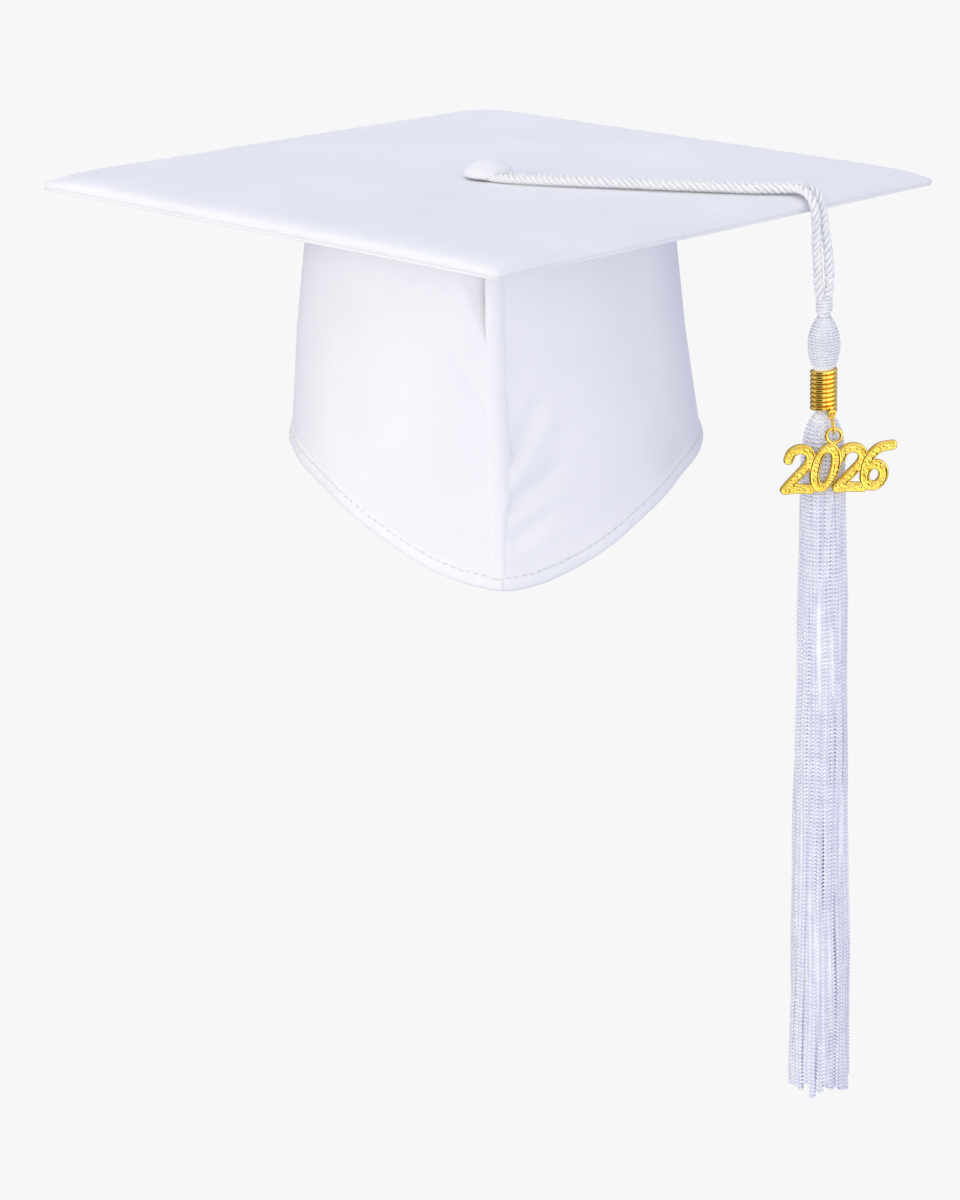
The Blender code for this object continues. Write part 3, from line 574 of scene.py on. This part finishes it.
def crown_point(turn, z, proud=0.0, relief=True):
    """Points of the crown's outer cloth, proud mm outside it."""
    turn, z = np.broadcast_arrays(np.asarray(turn, float), np.asarray(z, float))
    arc = WALL_RADIUS * (np.mod(turn + math.pi, TAU) - math.pi)
    if relief:
        proud = proud - crease_relief(arc, z)
        proud = proud + 0.35 * np.sin(arc / 13 + 0.4) * np.cos(z / 24 + arc / 60)
        proud = proud + 0.22 * np.sin(arc / 5.1 + z / 19) * np.exp(-((z - hem_height(turn)) / 16) ** 2)
        off_seam = (np.abs(turn) - BACK_SEAM) * WALL_RADIUS
        proud = proud - 0.55 * np.exp(-(off_seam / 0.9) ** 2)
    half_width = HALF_WIDTH - z * WIDTH_FLARE + proud
    half_length = HALF_LENGTH - z * LENGTH_FLARE + proud
    x = half_width * np.sin(turn)
    from_ridge = np.hypot(x, RIDGE_ROUND) - RIDGE_ROUND * 0.5
    ridge = RIDGE * np.exp(-from_ridge / RIDGE_REACH) * np.maximum(0, np.cos(turn))
    x = x + 0.5 + 0.04 * np.maximum(0, -z - 50)
    return np.stack([x, -half_length * np.cos(turn) - ridge, z], -1)


def wall(start, end, cols, rows, top, bottom_of, proud=0.0, crowd=0.0):
    """A piece of the crown's wall. Crowd draws its columns towards the front seam."""
    share = np.linspace(0, 1, cols)
    if crowd > 0:
        share = share ** (1 + crowd)
    elif crowd < 0:
        share = 1 - (1 - share) ** (1 - crowd)
    turn = start + (end - start) * share
    low = bottom_of(turn)
    up = np.linspace(0, 1, rows)[:, None]
    z = low[None, :] + (top - low[None, :]) * up
    turns = np.broadcast_to(turn[None, :], z.shape)
    co = crown_point(turns, z, proud)
    uv = np.stack([turns * WALL_RADIUS, z], -1)
    return co.reshape(-1, 3), grid_faces(rows, cols), uv.reshape(-1, 2)


def make_crown():
    seam = SEAM_HALF_GAP / HALF_WIDTH

    def foot(turn):
        return hem_height(turn) + 1.2

    panels = [
        ("left", seam, BACK_SEAM, 190, 96, 1.0, (0.214, 0.131), 0.0215),
        ("right", -BACK_SEAM, -seam, 190, 96, -1.0, (0.214, 0.131), 0.0215),
        ("back", BACK_SEAM, TAU - BACK_SEAM, 60, 60, 0.0, (0.084, 0.094), 0.0074),
    ]
    for side, start, end, cols, rows, crowd, flat, area in panels:
        co, faces, uv = wall(start, end, cols, rows, CROWN_TOP, foot, 0.0, crowd)
        node = f"crown_panel_{side}"
        made = piece(f"crown_cloth_{side}", co, faces, CLOTH, "cap", uv, (node,))
    make_seam_band()
    make_hem()
    make_inside()


def make_seam_band():
    """The seam's folded cloth down the front. It narrows to its left towards the hem."""
    rows, cols = 120, 25
    z = np.linspace(3.0, -123.6, rows)[:, None]
    across = np.linspace(-1, 1, cols)[None, :]
    fall = np.clip((-86 - z) / 26, 0, 1)
    fall = fall * fall * (3 - 2 * fall)
    left = -3.7 - 1.6 * np.clip((-z - 40) / 80, 0, 1) + 0.15 * ripple(z, (13, 31), 2)
    right = 4.6 - 3.3 * fall + 0.2 * ripple(z, (11, 27), 4)
    arc = (left + right) / 2 + (right - left) / 2 * across
    edge = 1 - np.abs(across) ** 4
    swell = 0.10 * ripple(z + 3 * across, (7, 12), 6)
    proud = -0.35 + 1.1 * edge + swell * edge
    dip = 0.5 * np.exp(-((z + 50 + arc) / 3.2) ** 2) + 0.4 * np.exp(-((z + 79 + arc) / 2.6) ** 2)
    turn = arc / WALL_RADIUS + 0 * z
    co = crown_point(turn, z + 0 * arc, proud - dip, relief=False)
    uv = np.stack([arc + 0 * z, z + 0 * arc], -1).reshape(-1, 2)
    made = piece("seam_band", co.reshape(-1, 3), grid_faces(rows, cols), CLOTH, "cap", uv,
                 ("front_seam_strip",))


def make_hem():
    """The folded lower edge with its line of stitches."""
    section = np.array([  # how proud of the wall and how high over the hem's foot
        (-1.75, 5.7), (-2.0, 4.0), (-2.0, 2.0), (-1.6, 0.7), (-0.9, 0.05), (-0.2, -0.05), (0.45, 0.3),
        (0.85, 1.1), (0.95, 2.2), (0.92, 3.3), (0.8, 4.1), (0.55, 4.6), (0.2, 4.95), (0.34, 5.3),
        (0.5, 5.6), (0.45, 6.0), (-0.1, 6.7),
    ])
    turn = TAU * np.arange(HEM_COLUMNS) / HEM_COLUMNS
    arc = turn * WALL_RADIUS
    pucker = ripple(arc, (5.3, 8.1, 13.7), 8)
    shape = 1 + 0.022 * pucker
    wrinkle = ripple(arc * 0.7, (3.1, 4.7), 9)
    rows = []
    for proud, up in section:
        body = math.sin(math.pi * min(1, max(0, up / 5.0)))
        slant = np.roll(pucker, int(up * 2))
        puff = 0.16 * body * slant * (proud > -1) + 0.05 * wrinkle
        rows.append(crown_point(turn, hem_height(turn) + up * shape, proud + puff))
    co = np.stack(rows)
    around = np.cumsum(np.hypot(*np.diff(section, axis=0, prepend=section[:1]).T))
    uv = np.stack(np.broadcast_arrays(arc[None, :], around[:, None]), -1)
    faces = grid_faces(len(section), HEM_COLUMNS, wrap=True)
    made = piece("hem_fold", co.reshape(-1, 3), faces, CLOTH, "cap", uv.reshape(-1, 2),
                 ("hem_binding",))

    parts = []
    for i in range(HEM_STITCHES):
        turns = (i + np.array([0.16, 0.35, 0.5, 0.65, 0.84])) * TAU / HEM_STITCHES
        lift = np.array([0.05, 0.36, 0.44, 0.36, 0.05])
        shift = np.interp(turns, turn, shape)
        path = crown_point(turns, hem_height(turns) + 4.98 * shift, 0.02 + lift)
        parts.append(tube(path, np.array([0.12, 0.19, 0.2, 0.19, 0.12]), 6))
    co, faces, uv = joined(parts)
    piece("hem_stitches", co, faces, THREAD, "cap", uv)


def make_inside():
    """The buckram inside the crown's upper wall, and the gathered elastic at its back."""

    def foot(turn):
        return np.full(len(turn), BUCKRAM_FOOT)

    co, faces, uv = wall(-BUCKRAM_SPREAD, BUCKRAM_SPREAD, 150, 34, BUCKRAM_TOP, foot, -1.6)
    piece("buckram_wall", co, faces, BUCKRAM, "cap", uv, ("crown_stiffener",))
    rows, cols = 26, 150
    turn = np.linspace(BACK_SEAM, TAU - BACK_SEAM, cols)[None, :]
    up = np.linspace(0, 1, rows)[:, None]
    z = ELASTIC_FOOT + ELASTIC_TALL * up + 0 * turn
    arc = (turn - math.pi) * ELASTIC_RADIUS
    gather = 0.55 * np.sin(arc * TAU / 3.4 + 0.8 * np.sin(up * 5)) * np.sin(math.pi * up) ** 0.3
    channel = 0.35 * np.cos(up * TAU * 4)
    co = crown_point(turn + 0 * up, z, -3.0 + gather + channel, relief=False)
    uv = np.stack([z, arc / 10 + 0 * z], -1)
    made = piece("gathered_elastic", co.reshape(-1, 3), grid_faces(rows, cols), ELASTIC, "cap",
                 uv.reshape(-1, 2), ("elastic_band",))
    dress("crown_plate", BUCKRAM)
    # The flange gets the darker, bluer twill: painted shade.
    dress("crown_flange", LINING_PAINTED_SHADE)


# The board and its button


EDGE = [  # inset from the edge and height over the board's lower face
    (3.4, 0.42), (2.2, 0.10), (1.1, 0.0), (0.45, 0.12), (0.22, 0.42), (0.62, 0.80), (0.66, 0.98),
    (0.26, 1.30), (0.06, 1.9), (0.0, 2.6), (0.16, 3.3), (0.6, 4.0), (1.25, 4.5), (2.3, 4.9), (3.7, 5.22),
    (5.5, 5.5), (7.8, 5.72),
]
TOP_RINGS = [
    10, 12.5, 15, 19, 24, 30, 37, 44, 52, 60, 68, 76, 84, 91, 97, 102, 106, 109,
    111.5, 113.5, 115, 116.5, 118,
]
UNDER_RINGS = [0.9, 1.6, 2.8, 4.5, 7, 10, 14, 19, 25, 32, 40, 48, 56, 64, 72, 80, 90, 100, 110, 117.8]
UNDER_AROUND = 965  # the distance round the board
TOP_COLUMNS, UNDER_COLUMNS = 400, 240
CORNER_ROUND = 1.8
CORNERS = BOARD_HALF * math.sqrt(2) * np.array([(1, 0), (0, 1), (-1, 0), (0, -1)])
PINCH = (0.36, 0.30, 0.36, 0.24)  # how much thinner each corner is


def square_ring(inset, count):
    """Points round the board at an inset from its edge, and each one's share of the way round."""
    half = BOARD_HALF - inset
    corner = max(0.5, CORNER_ROUND * half / BOARD_HALF)
    side = 2 * (half - corner)
    bend = corner * math.pi / 2
    total = 4 * (side + bend)
    share = np.arange(count) / count
    at = share * total
    leg = np.minimum((at // (side + bend)).astype(int), 3)
    rest = at - leg * (side + bend)
    straight = np.minimum(rest, side)
    turn = np.maximum(rest - side, 0) / corner
    x = half + 0 * rest
    x = np.where(rest > side, half - corner + corner * np.cos(turn), x)
    y = np.where(rest > side, half - corner + corner * np.sin(turn), straight - side / 2)
    angle = leg * math.pi / 2 - math.pi / 4
    points = [x * np.cos(angle) - y * np.sin(angle), x * np.sin(angle) + y * np.cos(angle)]
    return np.stack(points, 1), share


def board_height(x, y, up):
    """The height of the board's cover: thin at the corners, dished under the button, a little uneven."""
    scale = np.ones_like(x)
    for (cx, cy), pinch in zip(CORNERS, PINCH):
        scale = scale * (1 - pinch * np.exp(-((np.hypot(x - cx, y - cy)) / 11) ** 1.5))
    away = np.hypot(x, y)
    inner = np.clip(up / 5.8, 0, 1) ** 3
    soft = 0.16 * np.sin(x / 31 + 0.5) * np.cos(y / 27 - 0.3)
    soft = soft + 0.10 * np.sin((x + y) / 17) * np.sin((x - y) / 23)
    dish = 0.7 * np.exp(-(away / 13) ** 2) + pad_dip(away)
    return BOARD_LOW + up * scale + inner * (soft - dish)


def turned_flat(co):
    """UVs in mm that run along the board's sides, which stand at 45 degrees to X and Y."""
    across = math.sqrt(0.5)
    return np.stack([(co[:, 0] + co[:, 1]) * across, (co[:, 1] - co[:, 0]) * across], 1)


def make_board():
    rows = []
    profile = EDGE + [(inset, 5.9 - 0.18 * math.exp(-(inset - 7.8) / 6)) for inset in TOP_RINGS]
    for inset, up in profile:
        flat, share = square_ring(inset, TOP_COLUMNS)
        arc = share * 8 * BOARD_HALF
        near = math.exp(-(inset / 5.0) ** 2)
        tug = ripple(arc, (6.2, 9.4, 14.8), 21)
        slim = 1 - 0.0011 * near * tug
        x, y = flat[:, 0] * slim, flat[:, 1] * slim
        wave = 0.09 * math.exp(-((inset - 3.5) / 3.5) ** 2) * np.roll(tug, 2) * min(1, up / 3)
        rows.append(np.stack([x, y, board_height(x, y, up) + wave], 1))
    co = np.concatenate(rows)
    uv = turned_flat(co) + co[:, 2:] * 0.8
    faces = grid_faces(len(rows), TOP_COLUMNS, wrap=True)
    made = piece("board_cushion", co, faces, CLOTH, "cap", uv, ("board_cover_top", "board_pad"))

    rows = []
    for inset in UNDER_RINGS:
        flat, share = square_ring(inset, UNDER_COLUMNS)
        x, y = flat.T
        pull = ripple(share * UNDER_AROUND, (17, 26, 41), 31) * math.exp(-((inset - 20) / 26) ** 2)
        z = BOARD_LOW + 0.28 + 0.10 * pull + 0.14 * math.exp(-((inset - 1.2) / 0.6) ** 2)
        rows.append(np.stack([x, y, z + 0 * x], 1))
    co = np.concatenate(rows)
    faces = grid_faces(len(rows), UNDER_COLUMNS, wrap=True)[:, ::-1]
    made = piece("board_underside", co, faces, CLOTH, "cap", turned_flat(co),
                 ("board_cover_bottom",))
    dress("board_core", BOARD)


def make_button():
    """A flattened dome of cloth gathered over the button's shell."""
    radius, low, high = 9.8, 8.1, 14.4
    rows = [(radius * 0.62, low - 0.5), (radius * 0.86, low - 0.35), (radius * 0.97, low + 0.1)]
    for k in range(26):
        turn = math.pi / 2 * k / 25
        rise = (high - low - 0.5) * math.sin(turn) ** 1.05
        rows.append((radius * math.cos(turn) ** 0.9 + 1e-4, low + 0.5 + rise))

    def gathers(turn, z):
        near = np.exp(-((z - low) / 1.6) ** 2)
        return near * (0.14 * np.sin(turn * 17 + 0.7 * np.sin(3 * turn)) + 0.08 * np.sin(turn * 29))

    co, faces, uv = turned(rows, 96, gathers)
    away = np.hypot(co[:, 0], co[:, 1])
    toward = (co[:, 0] * 0.62 - co[:, 1] * 0.78) / np.maximum(away, 1e-6)
    co[:, 2] += 0.4 * np.exp(-((toward - 1) / 0.16) ** 2) * np.clip(away / radius, 0, 1) ** 3
    uneven = 0.12 * np.sin(co[:, 0] / 3.1 + 0.6) * np.cos(co[:, 1] / 3.7)
    co[:, 2] += uneven - 0.25 * np.exp(-((away - 6) / 3) ** 2)
    made = piece("button_cloth", co, faces, CLOTH, "cap", co[:, :2] + co[:, 2:] * 0.5,
                 ("button_cover", "button_shell", "button_pin"))
    stem, faces, uv = turned([(0.01, 1.5), (3.2, 1.5), (3.2, 2.2), (1.6, 2.3), (1.6, 10.0), (1.6, 12.0)], 32)
    piece("button_stem", stem, faces, STEEL, "cap", uv)
    dress("button_washer", STEEL)


# The tassel


def lobe_template(sides=4):
    """A stitch's lobe: a pointed bean along Z, one unit long and one across."""
    rows = [(-0.5, 0.02), (-0.22, 0.42), (0.2, 0.5), (0.5, 0.02)]
    turn = TAU * np.arange(sides) / sides
    co = np.array([(r * math.cos(t), r * math.sin(t), z) for z, r in rows for t in turn])
    return co, grid_faces(len(rows), sides, wrap=True)


LOBE, LOBE_FACES = lobe_template()


def stitches(at, along, out, pitch, wide, tilt=math.radians(54)):
    """V-shaped chain stitches at points with given directions; pitch and wide may vary by point."""
    aside = np.cross(along, out)
    pitch = np.broadcast_to(np.asarray(pitch, float), (len(at),))[:, None]
    wide = np.broadcast_to(np.asarray(wide, float), (len(at),))[:, None]
    parts = []
    for hand in (-1, 1):
        way = along * math.cos(tilt) + aside * (hand * math.sin(tilt))
        side = np.cross(way, out)
        middle = at + aside * (hand * 0.24 * wide)
        lobes = (
            middle[:, None]
            + side[:, None] * (LOBE[None, :, 0:1] * 0.72 * pitch[:, None])
            + out[:, None] * (LOBE[None, :, 1:2] * 0.56 * wide[:, None])
            + way[:, None] * (LOBE[None, :, 2:3] * 0.74 * wide[:, None])
        )
        start = np.arange(len(at))[:, None, None] * len(LOBE)
        faces = (LOBE_FACES[None] + start).reshape(-1, 4)
        co = lobes.reshape(-1, 3)
        parts.append((co, faces, np.zeros((len(co), 2))))
    return joined(parts)


OUTER, INSIDE = 26, 13  # knitted strands, and plain ones inside them
CAD_STRANDS = 14
INNER_RING = 11  # the plain strands that stand in a ring; the rest fill its middle
INSIDE_RADIUS = 1.9
STITCH_PITCH = 1.55
STRAND_WIDE = 2.4
STRAND_TOP = SLEEVE_BOTTOM + 1.2


def skirt_radius(depth):
    """The skirt's radius at a depth below its strands' tops: it leaves the sleeve, then spreads slowly."""
    return 3.7 + 5.1 * (1 - np.exp(-np.maximum(depth - 1.2, 0) / 5.0)) + depth * 0.0135


def strand_path(index, count, inset, seed, long):
    """A strand's centreline in the tassel's frame, with the outward direction at each point."""
    chance = np.random.RandomState(seed)
    rows = max(12, int(long / STITCH_PITCH))
    depth = np.linspace(0, long, rows)
    loose = np.clip(depth / 60, 0, 1)
    angle = TAU * (index + 0.5) / count
    angle = angle + loose * (0.03 * ripple(depth, (95, 160), seed) + chance.uniform(-0.02, 0.02))
    ring = skirt_radius(depth) - inset + loose * 0.35 * ripple(depth, (70, 120), seed + 50)
    ring = np.maximum(ring, 0.5)
    at = pillar(ring, angle, STRAND_TOP - depth)
    turn = angle + loose * 0.35 * ripple(depth, (140, 210), seed + 90)
    out = np.stack([np.sin(turn), -np.cos(turn), 0 * turn], 1)
    return at, out


def make_skirt():
    full = STRAND_TOP - SKIRT_BOTTOM
    for i in range(OUTER):
        ragged = random.uniform(-3.6, 3.2) - (2.4 if i % 5 == 2 else 0)
        at, out = strand_path(i, OUTER, 1.1 + 0.45 * (i % 2), 300 + i, full - 3.5 + ragged)
        along = np.gradient(at, axis=0)
        along /= np.linalg.norm(along, axis=1)[:, None]
        out = out - along * np.sum(out * along, 1)[:, None]
        out /= np.linalg.norm(out, axis=1)[:, None]
        room = (skirt_radius(STRAND_TOP - at[:, 2]) - 1.2) * 1.25 * TAU / OUTER
        squeeze = np.clip(room / STRAND_WIDE, 0.5, 1.25)
        knit = stitches(at, -along, out, STITCH_PITCH, STRAND_WIDE * squeeze)
        core = tube(at - out * 0.7, 1.0 * squeeze, 8)
        co, faces, uv = joined([knit, core])
        nodes = (f"skirt_strand_{i + 1:02d}",) if i < CAD_STRANDS else ()
        name = f"tassel_strand_{i + 1:02d}"
        made = piece(name, hanging(co), faces, STITCH, "tassel", uv, nodes)
        # The core seen between the stitch lobes takes the darker, bluer copy: painted shade in the gaps.
        made.data.materials.append(VALLEY_PAINTED_SHADE)
        shades = np.zeros(len(faces), np.int32)
        shades[-len(core[1]):] = 1
        made.data.polygons.foreach_set("material_index", shades)
    for i in range(INSIDE):
        count, inset = (INNER_RING, 3.3) if i < INNER_RING else (INSIDE - INNER_RING, 7.4)
        at, out = strand_path(i, count, inset, 500 + i, full - 6 + random.uniform(-3, 3))
        co, faces, uv = tube(at, INSIDE_RADIUS, 10)
        nodes = ("skirt_core",) if i == 0 else ()
        name = f"tassel_core_{i + 1:02d}"
        made = piece(name, hanging(co), faces, INNER, "tassel", uv, nodes)


HEAD_SHAPE = [  # share of the way down the woven head, and its radius there
    (0.0, 2.3), (0.06, 3.1), (0.18, 4.3), (0.34, 5.4), (0.52, 5.9), (0.70, 5.8), (0.86, 5.3), (1.0, 4.4),
]
HEAD_ROWS, HEAD_COLUMNS = 17, 15


def head_radius(z):
    """The woven head's radius at heights in the tassel's frame."""
    share = np.clip((NECK_BOTTOM - 0.3 - z) / (NECK_BOTTOM - 0.3 - HEAD_BOTTOM), 0, 1)
    return np.interp(share, *zip(*HEAD_SHAPE))


def make_head():
    z = np.linspace(NECK_BOTTOM + 0.2, HEAD_BOTTOM - 1.5, 40)
    body = turned(np.stack([head_radius(z) - 0.6, z], 1), 36)
    parts = [body]
    for r in range(HEAD_ROWS):
        height = NECK_BOTTOM - 0.9 - (r + 0.5) * (NECK_BOTTOM - 0.9 - HEAD_BOTTOM) / HEAD_ROWS
        angle = TAU * (np.arange(HEAD_COLUMNS) + 0.04 * r) / HEAD_COLUMNS
        radius = float(head_radius(height)) - 0.42
        slope = float(head_radius(height - 0.5) - head_radius(height + 0.5))
        at = pillar(radius, angle, height)
        out = np.stack([np.sin(angle), -np.cos(angle), 0 * angle + slope], 1)
        out /= np.linalg.norm(out, axis=1)[:, None]
        down = np.stack([np.sin(angle) * slope, -np.cos(angle) * slope, 0 * angle - 1], 1)
        down /= np.linalg.norm(down, axis=1)[:, None]
        parts.append(stitches(at, -down, out, 1.3, radius * TAU / HEAD_COLUMNS * 1.04))
    co, faces, uv = joined(parts)
    made = piece("woven_head", hanging(co), faces, STITCH, "tassel", uv, ("tassel_head",))

    turn = np.linspace(0, TAU * 4.6, 150)
    z = np.linspace(NECK_TOP + 0.6, NECK_BOTTOM + 0.4, 150)
    radius = 2.35 + 0.25 * np.sin(np.linspace(0, math.pi, 150))
    wrap = tube(pillar(radius, turn, z + 0.5 * np.sin(turn + 0.6)), 0.62, 8)
    core = turned([
        (0.05, NECK_TOP + 1.6), (1.9, NECK_TOP + 0.9), (2.4, NECK_TOP - 1), (2.2, NECK_BOTTOM),
        (2.4, NECK_BOTTOM - 0.8),
    ], 24)
    co, faces, uv = joined([wrap, core])
    piece("neck_wrap", hanging(co), faces, ROPE, "tassel", uv, ("neck_knot",))


LINK_TOP, LINK_FOOT = np.array([2.26, -6.3, -43.1]), np.array([2.6, -10.7, -49.1])
LINK_HALF_WIDE, LINK_WIRE = 1.45, 0.42
EYE_WIRE, STUB_WIRE = 0.46, 0.44


def make_sleeve():
    """The coil of gold wire with its eye, and the link that hangs in the eye."""
    per_turn, turns, wire, pitch, radius = 28, 9.5, 0.81, 1.7, 4.3
    start_angle = math.radians(18)
    turn = np.arange(int(per_turn * turns) + 1) / per_turn
    angle = start_angle + TAU * turn
    coil = tube(pillar(radius, angle, SLEEVE_BOTTOM + 0.8 + pitch * turn), wire, 12)
    facing = np.array([math.sin(start_angle), -math.cos(start_angle), 0])
    side = np.array([math.cos(start_angle), math.sin(start_angle), 0])
    eye_z, eye_reach, eye_radius = -43.0, 7.3, 1.35
    k = TAU * np.arange(28) / 28
    upright = np.array([0, 0, 1.0])
    circle = side * np.sin(k)[:, None] + upright * np.cos(k)[:, None]
    eye = tube(facing * eye_reach + upright * eye_z + circle * eye_radius, EYE_WIRE, 10, closed=True)
    stub = np.linspace(facing * (radius - 0.1), facing * (eye_reach + 0.1), 5)
    stub = tube(stub + upright * (eye_z + eye_radius), STUB_WIRE, 10)
    co, faces, uv = joined([coil, eye, stub])
    piece("gold_coil", hanging(co), faces, GOLD, "sleeve", uv, ("coil_sleeve",))

    long = np.linalg.norm(LINK_FOOT - LINK_TOP)
    along = (LINK_FOOT - LINK_TOP) / long
    across = np.cross(along, [1.0, 0, 0])
    across /= np.linalg.norm(across)
    straight = long - 2 * LINK_HALF_WIDE
    points = []
    for end, first in ((1, 0.0), (-1, math.pi)):
        middle = (LINK_TOP + LINK_FOOT) / 2 + along * (end * straight / 2)
        for k in range(17):
            turn = first + math.pi * k / 16
            points.append(middle + (across * math.cos(turn) + along * math.sin(turn)) * LINK_HALF_WIDE)
    co, faces, uv = tube(np.array(points), LINK_WIRE, 10, closed=True)
    piece("gold_link", hanging(co), faces, GOLD, "link", uv, ("charm_link",))


# The year charm: four joined numerals in relief, drawn from the ring's centre


CHARM_UNIT = 1.07
HALF_STROKE = 1.75
TWO = [
    [(2.9, 12.2), (4.0, 14.6), (6.6, 15.9), (9.4, 15.2), (10.6, 12.8), (9.7, 10.2), (6.2, 6.4), (2.6, 2.5)],
    [(1.7, 1.5), (5.9, 1.75), (10.6, 1.5)],
]
SIX = [[(1.75, 6.9), (2.3, 9.8), (4.2, 13.2), (7.2, 15.6), (11.2, 16.3)]]
FIRST_TWO_AT, SECOND_TWO_AT, SIX_AT = (-18.5, -20.4), (-0.4, -20.2), (9.1, -20.1)
SIX_BOWL = (5.0, 5.7)  # its middle, from the six's own corner
CHARM_STEP = 0.2  # the front's grid
PEBBLE_STEP, PEBBLE_SIZE = 0.64, 0.25
CHARM_RING_AT = np.array([2.6, -9.9, -50.4])
CHARM_RING_RADIUS, CHARM_RING_WIRE = 2.75, 0.66


def stroke_depth(x, y, strokes, move):
    """How far inside a set of strokes each point is, in mm; below zero outside."""
    best = np.full(x.shape, -1e9)
    for stroke in strokes:
        rows = smooth_through([(a + move[0], b + move[1], 0) for a, b in stroke], 0.5)
        for a, b in zip(rows, rows[1:]):
            way = b[:2] - a[:2]
            share = np.clip(((x - a[0]) * way[0] + (y - a[1]) * way[1]) / max(way @ way, 1e-9), 0, 1)
            apart = np.hypot(x - a[0] - share * way[0], y - a[1] - share * way[1])
            best = np.maximum(best, HALF_STROKE - apart)
    return best


def oval_depth(x, y, middle, wide, high, slant):
    """How far inside a leaning oval each point is, in mm, near enough."""
    up = y - middle[1]
    across = x - middle[0] - slant * up
    size = np.hypot(across / wide, up / high) + 1e-9
    steep = np.hypot(across / wide ** 2 / size, (up / high ** 2 - slant * across / wide ** 2) / size)
    return (1 - size) / np.maximum(steep, 1e-3)


def oval_figure(x, y, middle, wide, high, slant):
    """The depth inside a closed oval stroke."""
    inner = oval_depth(x, y, middle, wide - 2 * HALF_STROKE, high - 2 * HALF_STROKE, slant)
    return np.minimum(oval_depth(x, y, middle, wide, high, slant), -inner)


def charm_figures(x, y):
    """The depth inside each figure, the one in front first."""
    zero = oval_figure(x, y, (-2.85, -11.35), 5.2, 8.8, 0.2)
    bowl = oval_figure(x, y, (SIX_AT[0] + SIX_BOWL[0], SIX_AT[1] + SIX_BOWL[1]), 5.0, 5.6, 0.12)
    six = np.maximum(stroke_depth(x, y, SIX, SIX_AT), bowl)
    first = stroke_depth(x, y, TWO, FIRST_TWO_AT)
    second = stroke_depth(x, y, TWO, SECOND_TWO_AT)
    return [zero, six, second, first]


def charm_front(x, y):
    """The union's depth, and the depth inside whichever figure shows there."""
    figures = charm_figures(x, y)
    union = np.max(figures, axis=0)
    shown = union.copy()
    taken = np.zeros(x.shape, bool)
    for depth in figures:
        here = (depth > 0) & ~taken
        shown[here] = depth[here]
        taken |= here
    return union, shown


def make_charm():
    """The numerals in relief, meshed from how deep inside its figure each point is."""
    xs = np.arange(-19.9, 21.4, CHARM_STEP)
    ys = np.arange(-22.3, -1.6, CHARM_STEP)
    x, y = [grid.ravel() for grid in np.meshgrid(xs, ys)]
    union = charm_front(x, y)[0]
    faces = grid_faces(len(ys), len(xs))
    faces = faces[np.all(union[faces] > -0.02, axis=1)]
    used, faces = np.unique(faces, return_inverse=True)
    faces = faces.reshape(-1, 4)
    x, y = x[used], y[used]
    sides = np.concatenate([faces[:, [k, (k + 1) % 4]] for k in range(4)])
    keys = np.sort(sides, 1)
    _, where, counts = np.unique(keys, axis=0, return_index=True, return_counts=True)
    rim = sides[where[counts == 1]]
    edge = np.unique(rim)
    small = 0.02
    for _ in range(3):
        ex, ey = x[edge], y[edge]
        depth = charm_front(ex, ey)[0]
        gx = (charm_front(ex + small, ey)[0] - charm_front(ex - small, ey)[0]) / (2 * small)
        gy = (charm_front(ex, ey + small)[0] - charm_front(ex, ey - small)[0]) / (2 * small)
        steep = np.maximum(gx * gx + gy * gy, 0.25)
        move = np.clip(depth, -CHARM_STEP, CHARM_STEP)
        x[edge] = ex - move * gx / steep
        y[edge] = ey - move * gy / steep
    union, shown = charm_front(x, y)
    depth = np.maximum(shown, 0)
    pebbles = np.zeros(len(x))
    chance = np.random.RandomState(9)
    for px in np.arange(-20, 21.5, PEBBLE_STEP):
        for py in np.arange(-22, -1.5, PEBBLE_STEP):
            cx, cy = px + chance.uniform(-0.24, 0.24), py + chance.uniform(-0.24, 0.24)
            near = np.abs(x - cx) < 0.75
            apart = (x[near] - cx) ** 2 + (y[near] - cy) ** 2
            pebbles[near] += chance.uniform(-0.8, 1.0) * np.exp(-apart / PEBBLE_SIZE ** 2)
    hill = np.exp(-((depth - 0.42) / 0.26) ** 2)
    inner = 1 / (1 + np.exp(-(depth - 0.8) / 0.07))
    front = 0.60 + 0.36 * hill + inner * (0.06 + 0.24 * pebbles) - 0.25 * np.exp(-(depth / 0.16) ** 2)
    back = -0.62 - 0.10 * (1 - np.exp(-np.maximum(union, 0) / 0.3))
    count = len(x)
    x, y = x * CHARM_UNIT, y * CHARM_UNIT
    flat = np.stack([x, y], 1)
    sheets = [(np.stack([x, -front, y], 1), faces, flat), (np.stack([x, -back, y], 1), faces[:, ::-1], flat)]
    co, quads, uv = joined(sheets)
    walls = np.stack([rim[:, 1], rim[:, 0], rim[:, 0] + count, rim[:, 1] + count], 1)
    quads = np.vstack([quads, walls])
    k = TAU * np.arange(48) / 48
    circle = np.stack([CHARM_RING_RADIUS * np.sin(k), 0 * k, CHARM_RING_RADIUS * np.cos(k)], 1)
    ring = tube(circle, CHARM_RING_WIRE, 12, closed=True)
    co, quads, uv = joined([(co, quads, uv), ring])
    co = hanging(co + CHARM_RING_AT)
    piece("year_numerals", co, quads, GOLD_CAST, "charm", uv, ("year_charm",))


make_room()
make_cord()
make_crown()
make_board()
make_button()
make_skirt()
make_head()
make_sleeve()
make_charm()
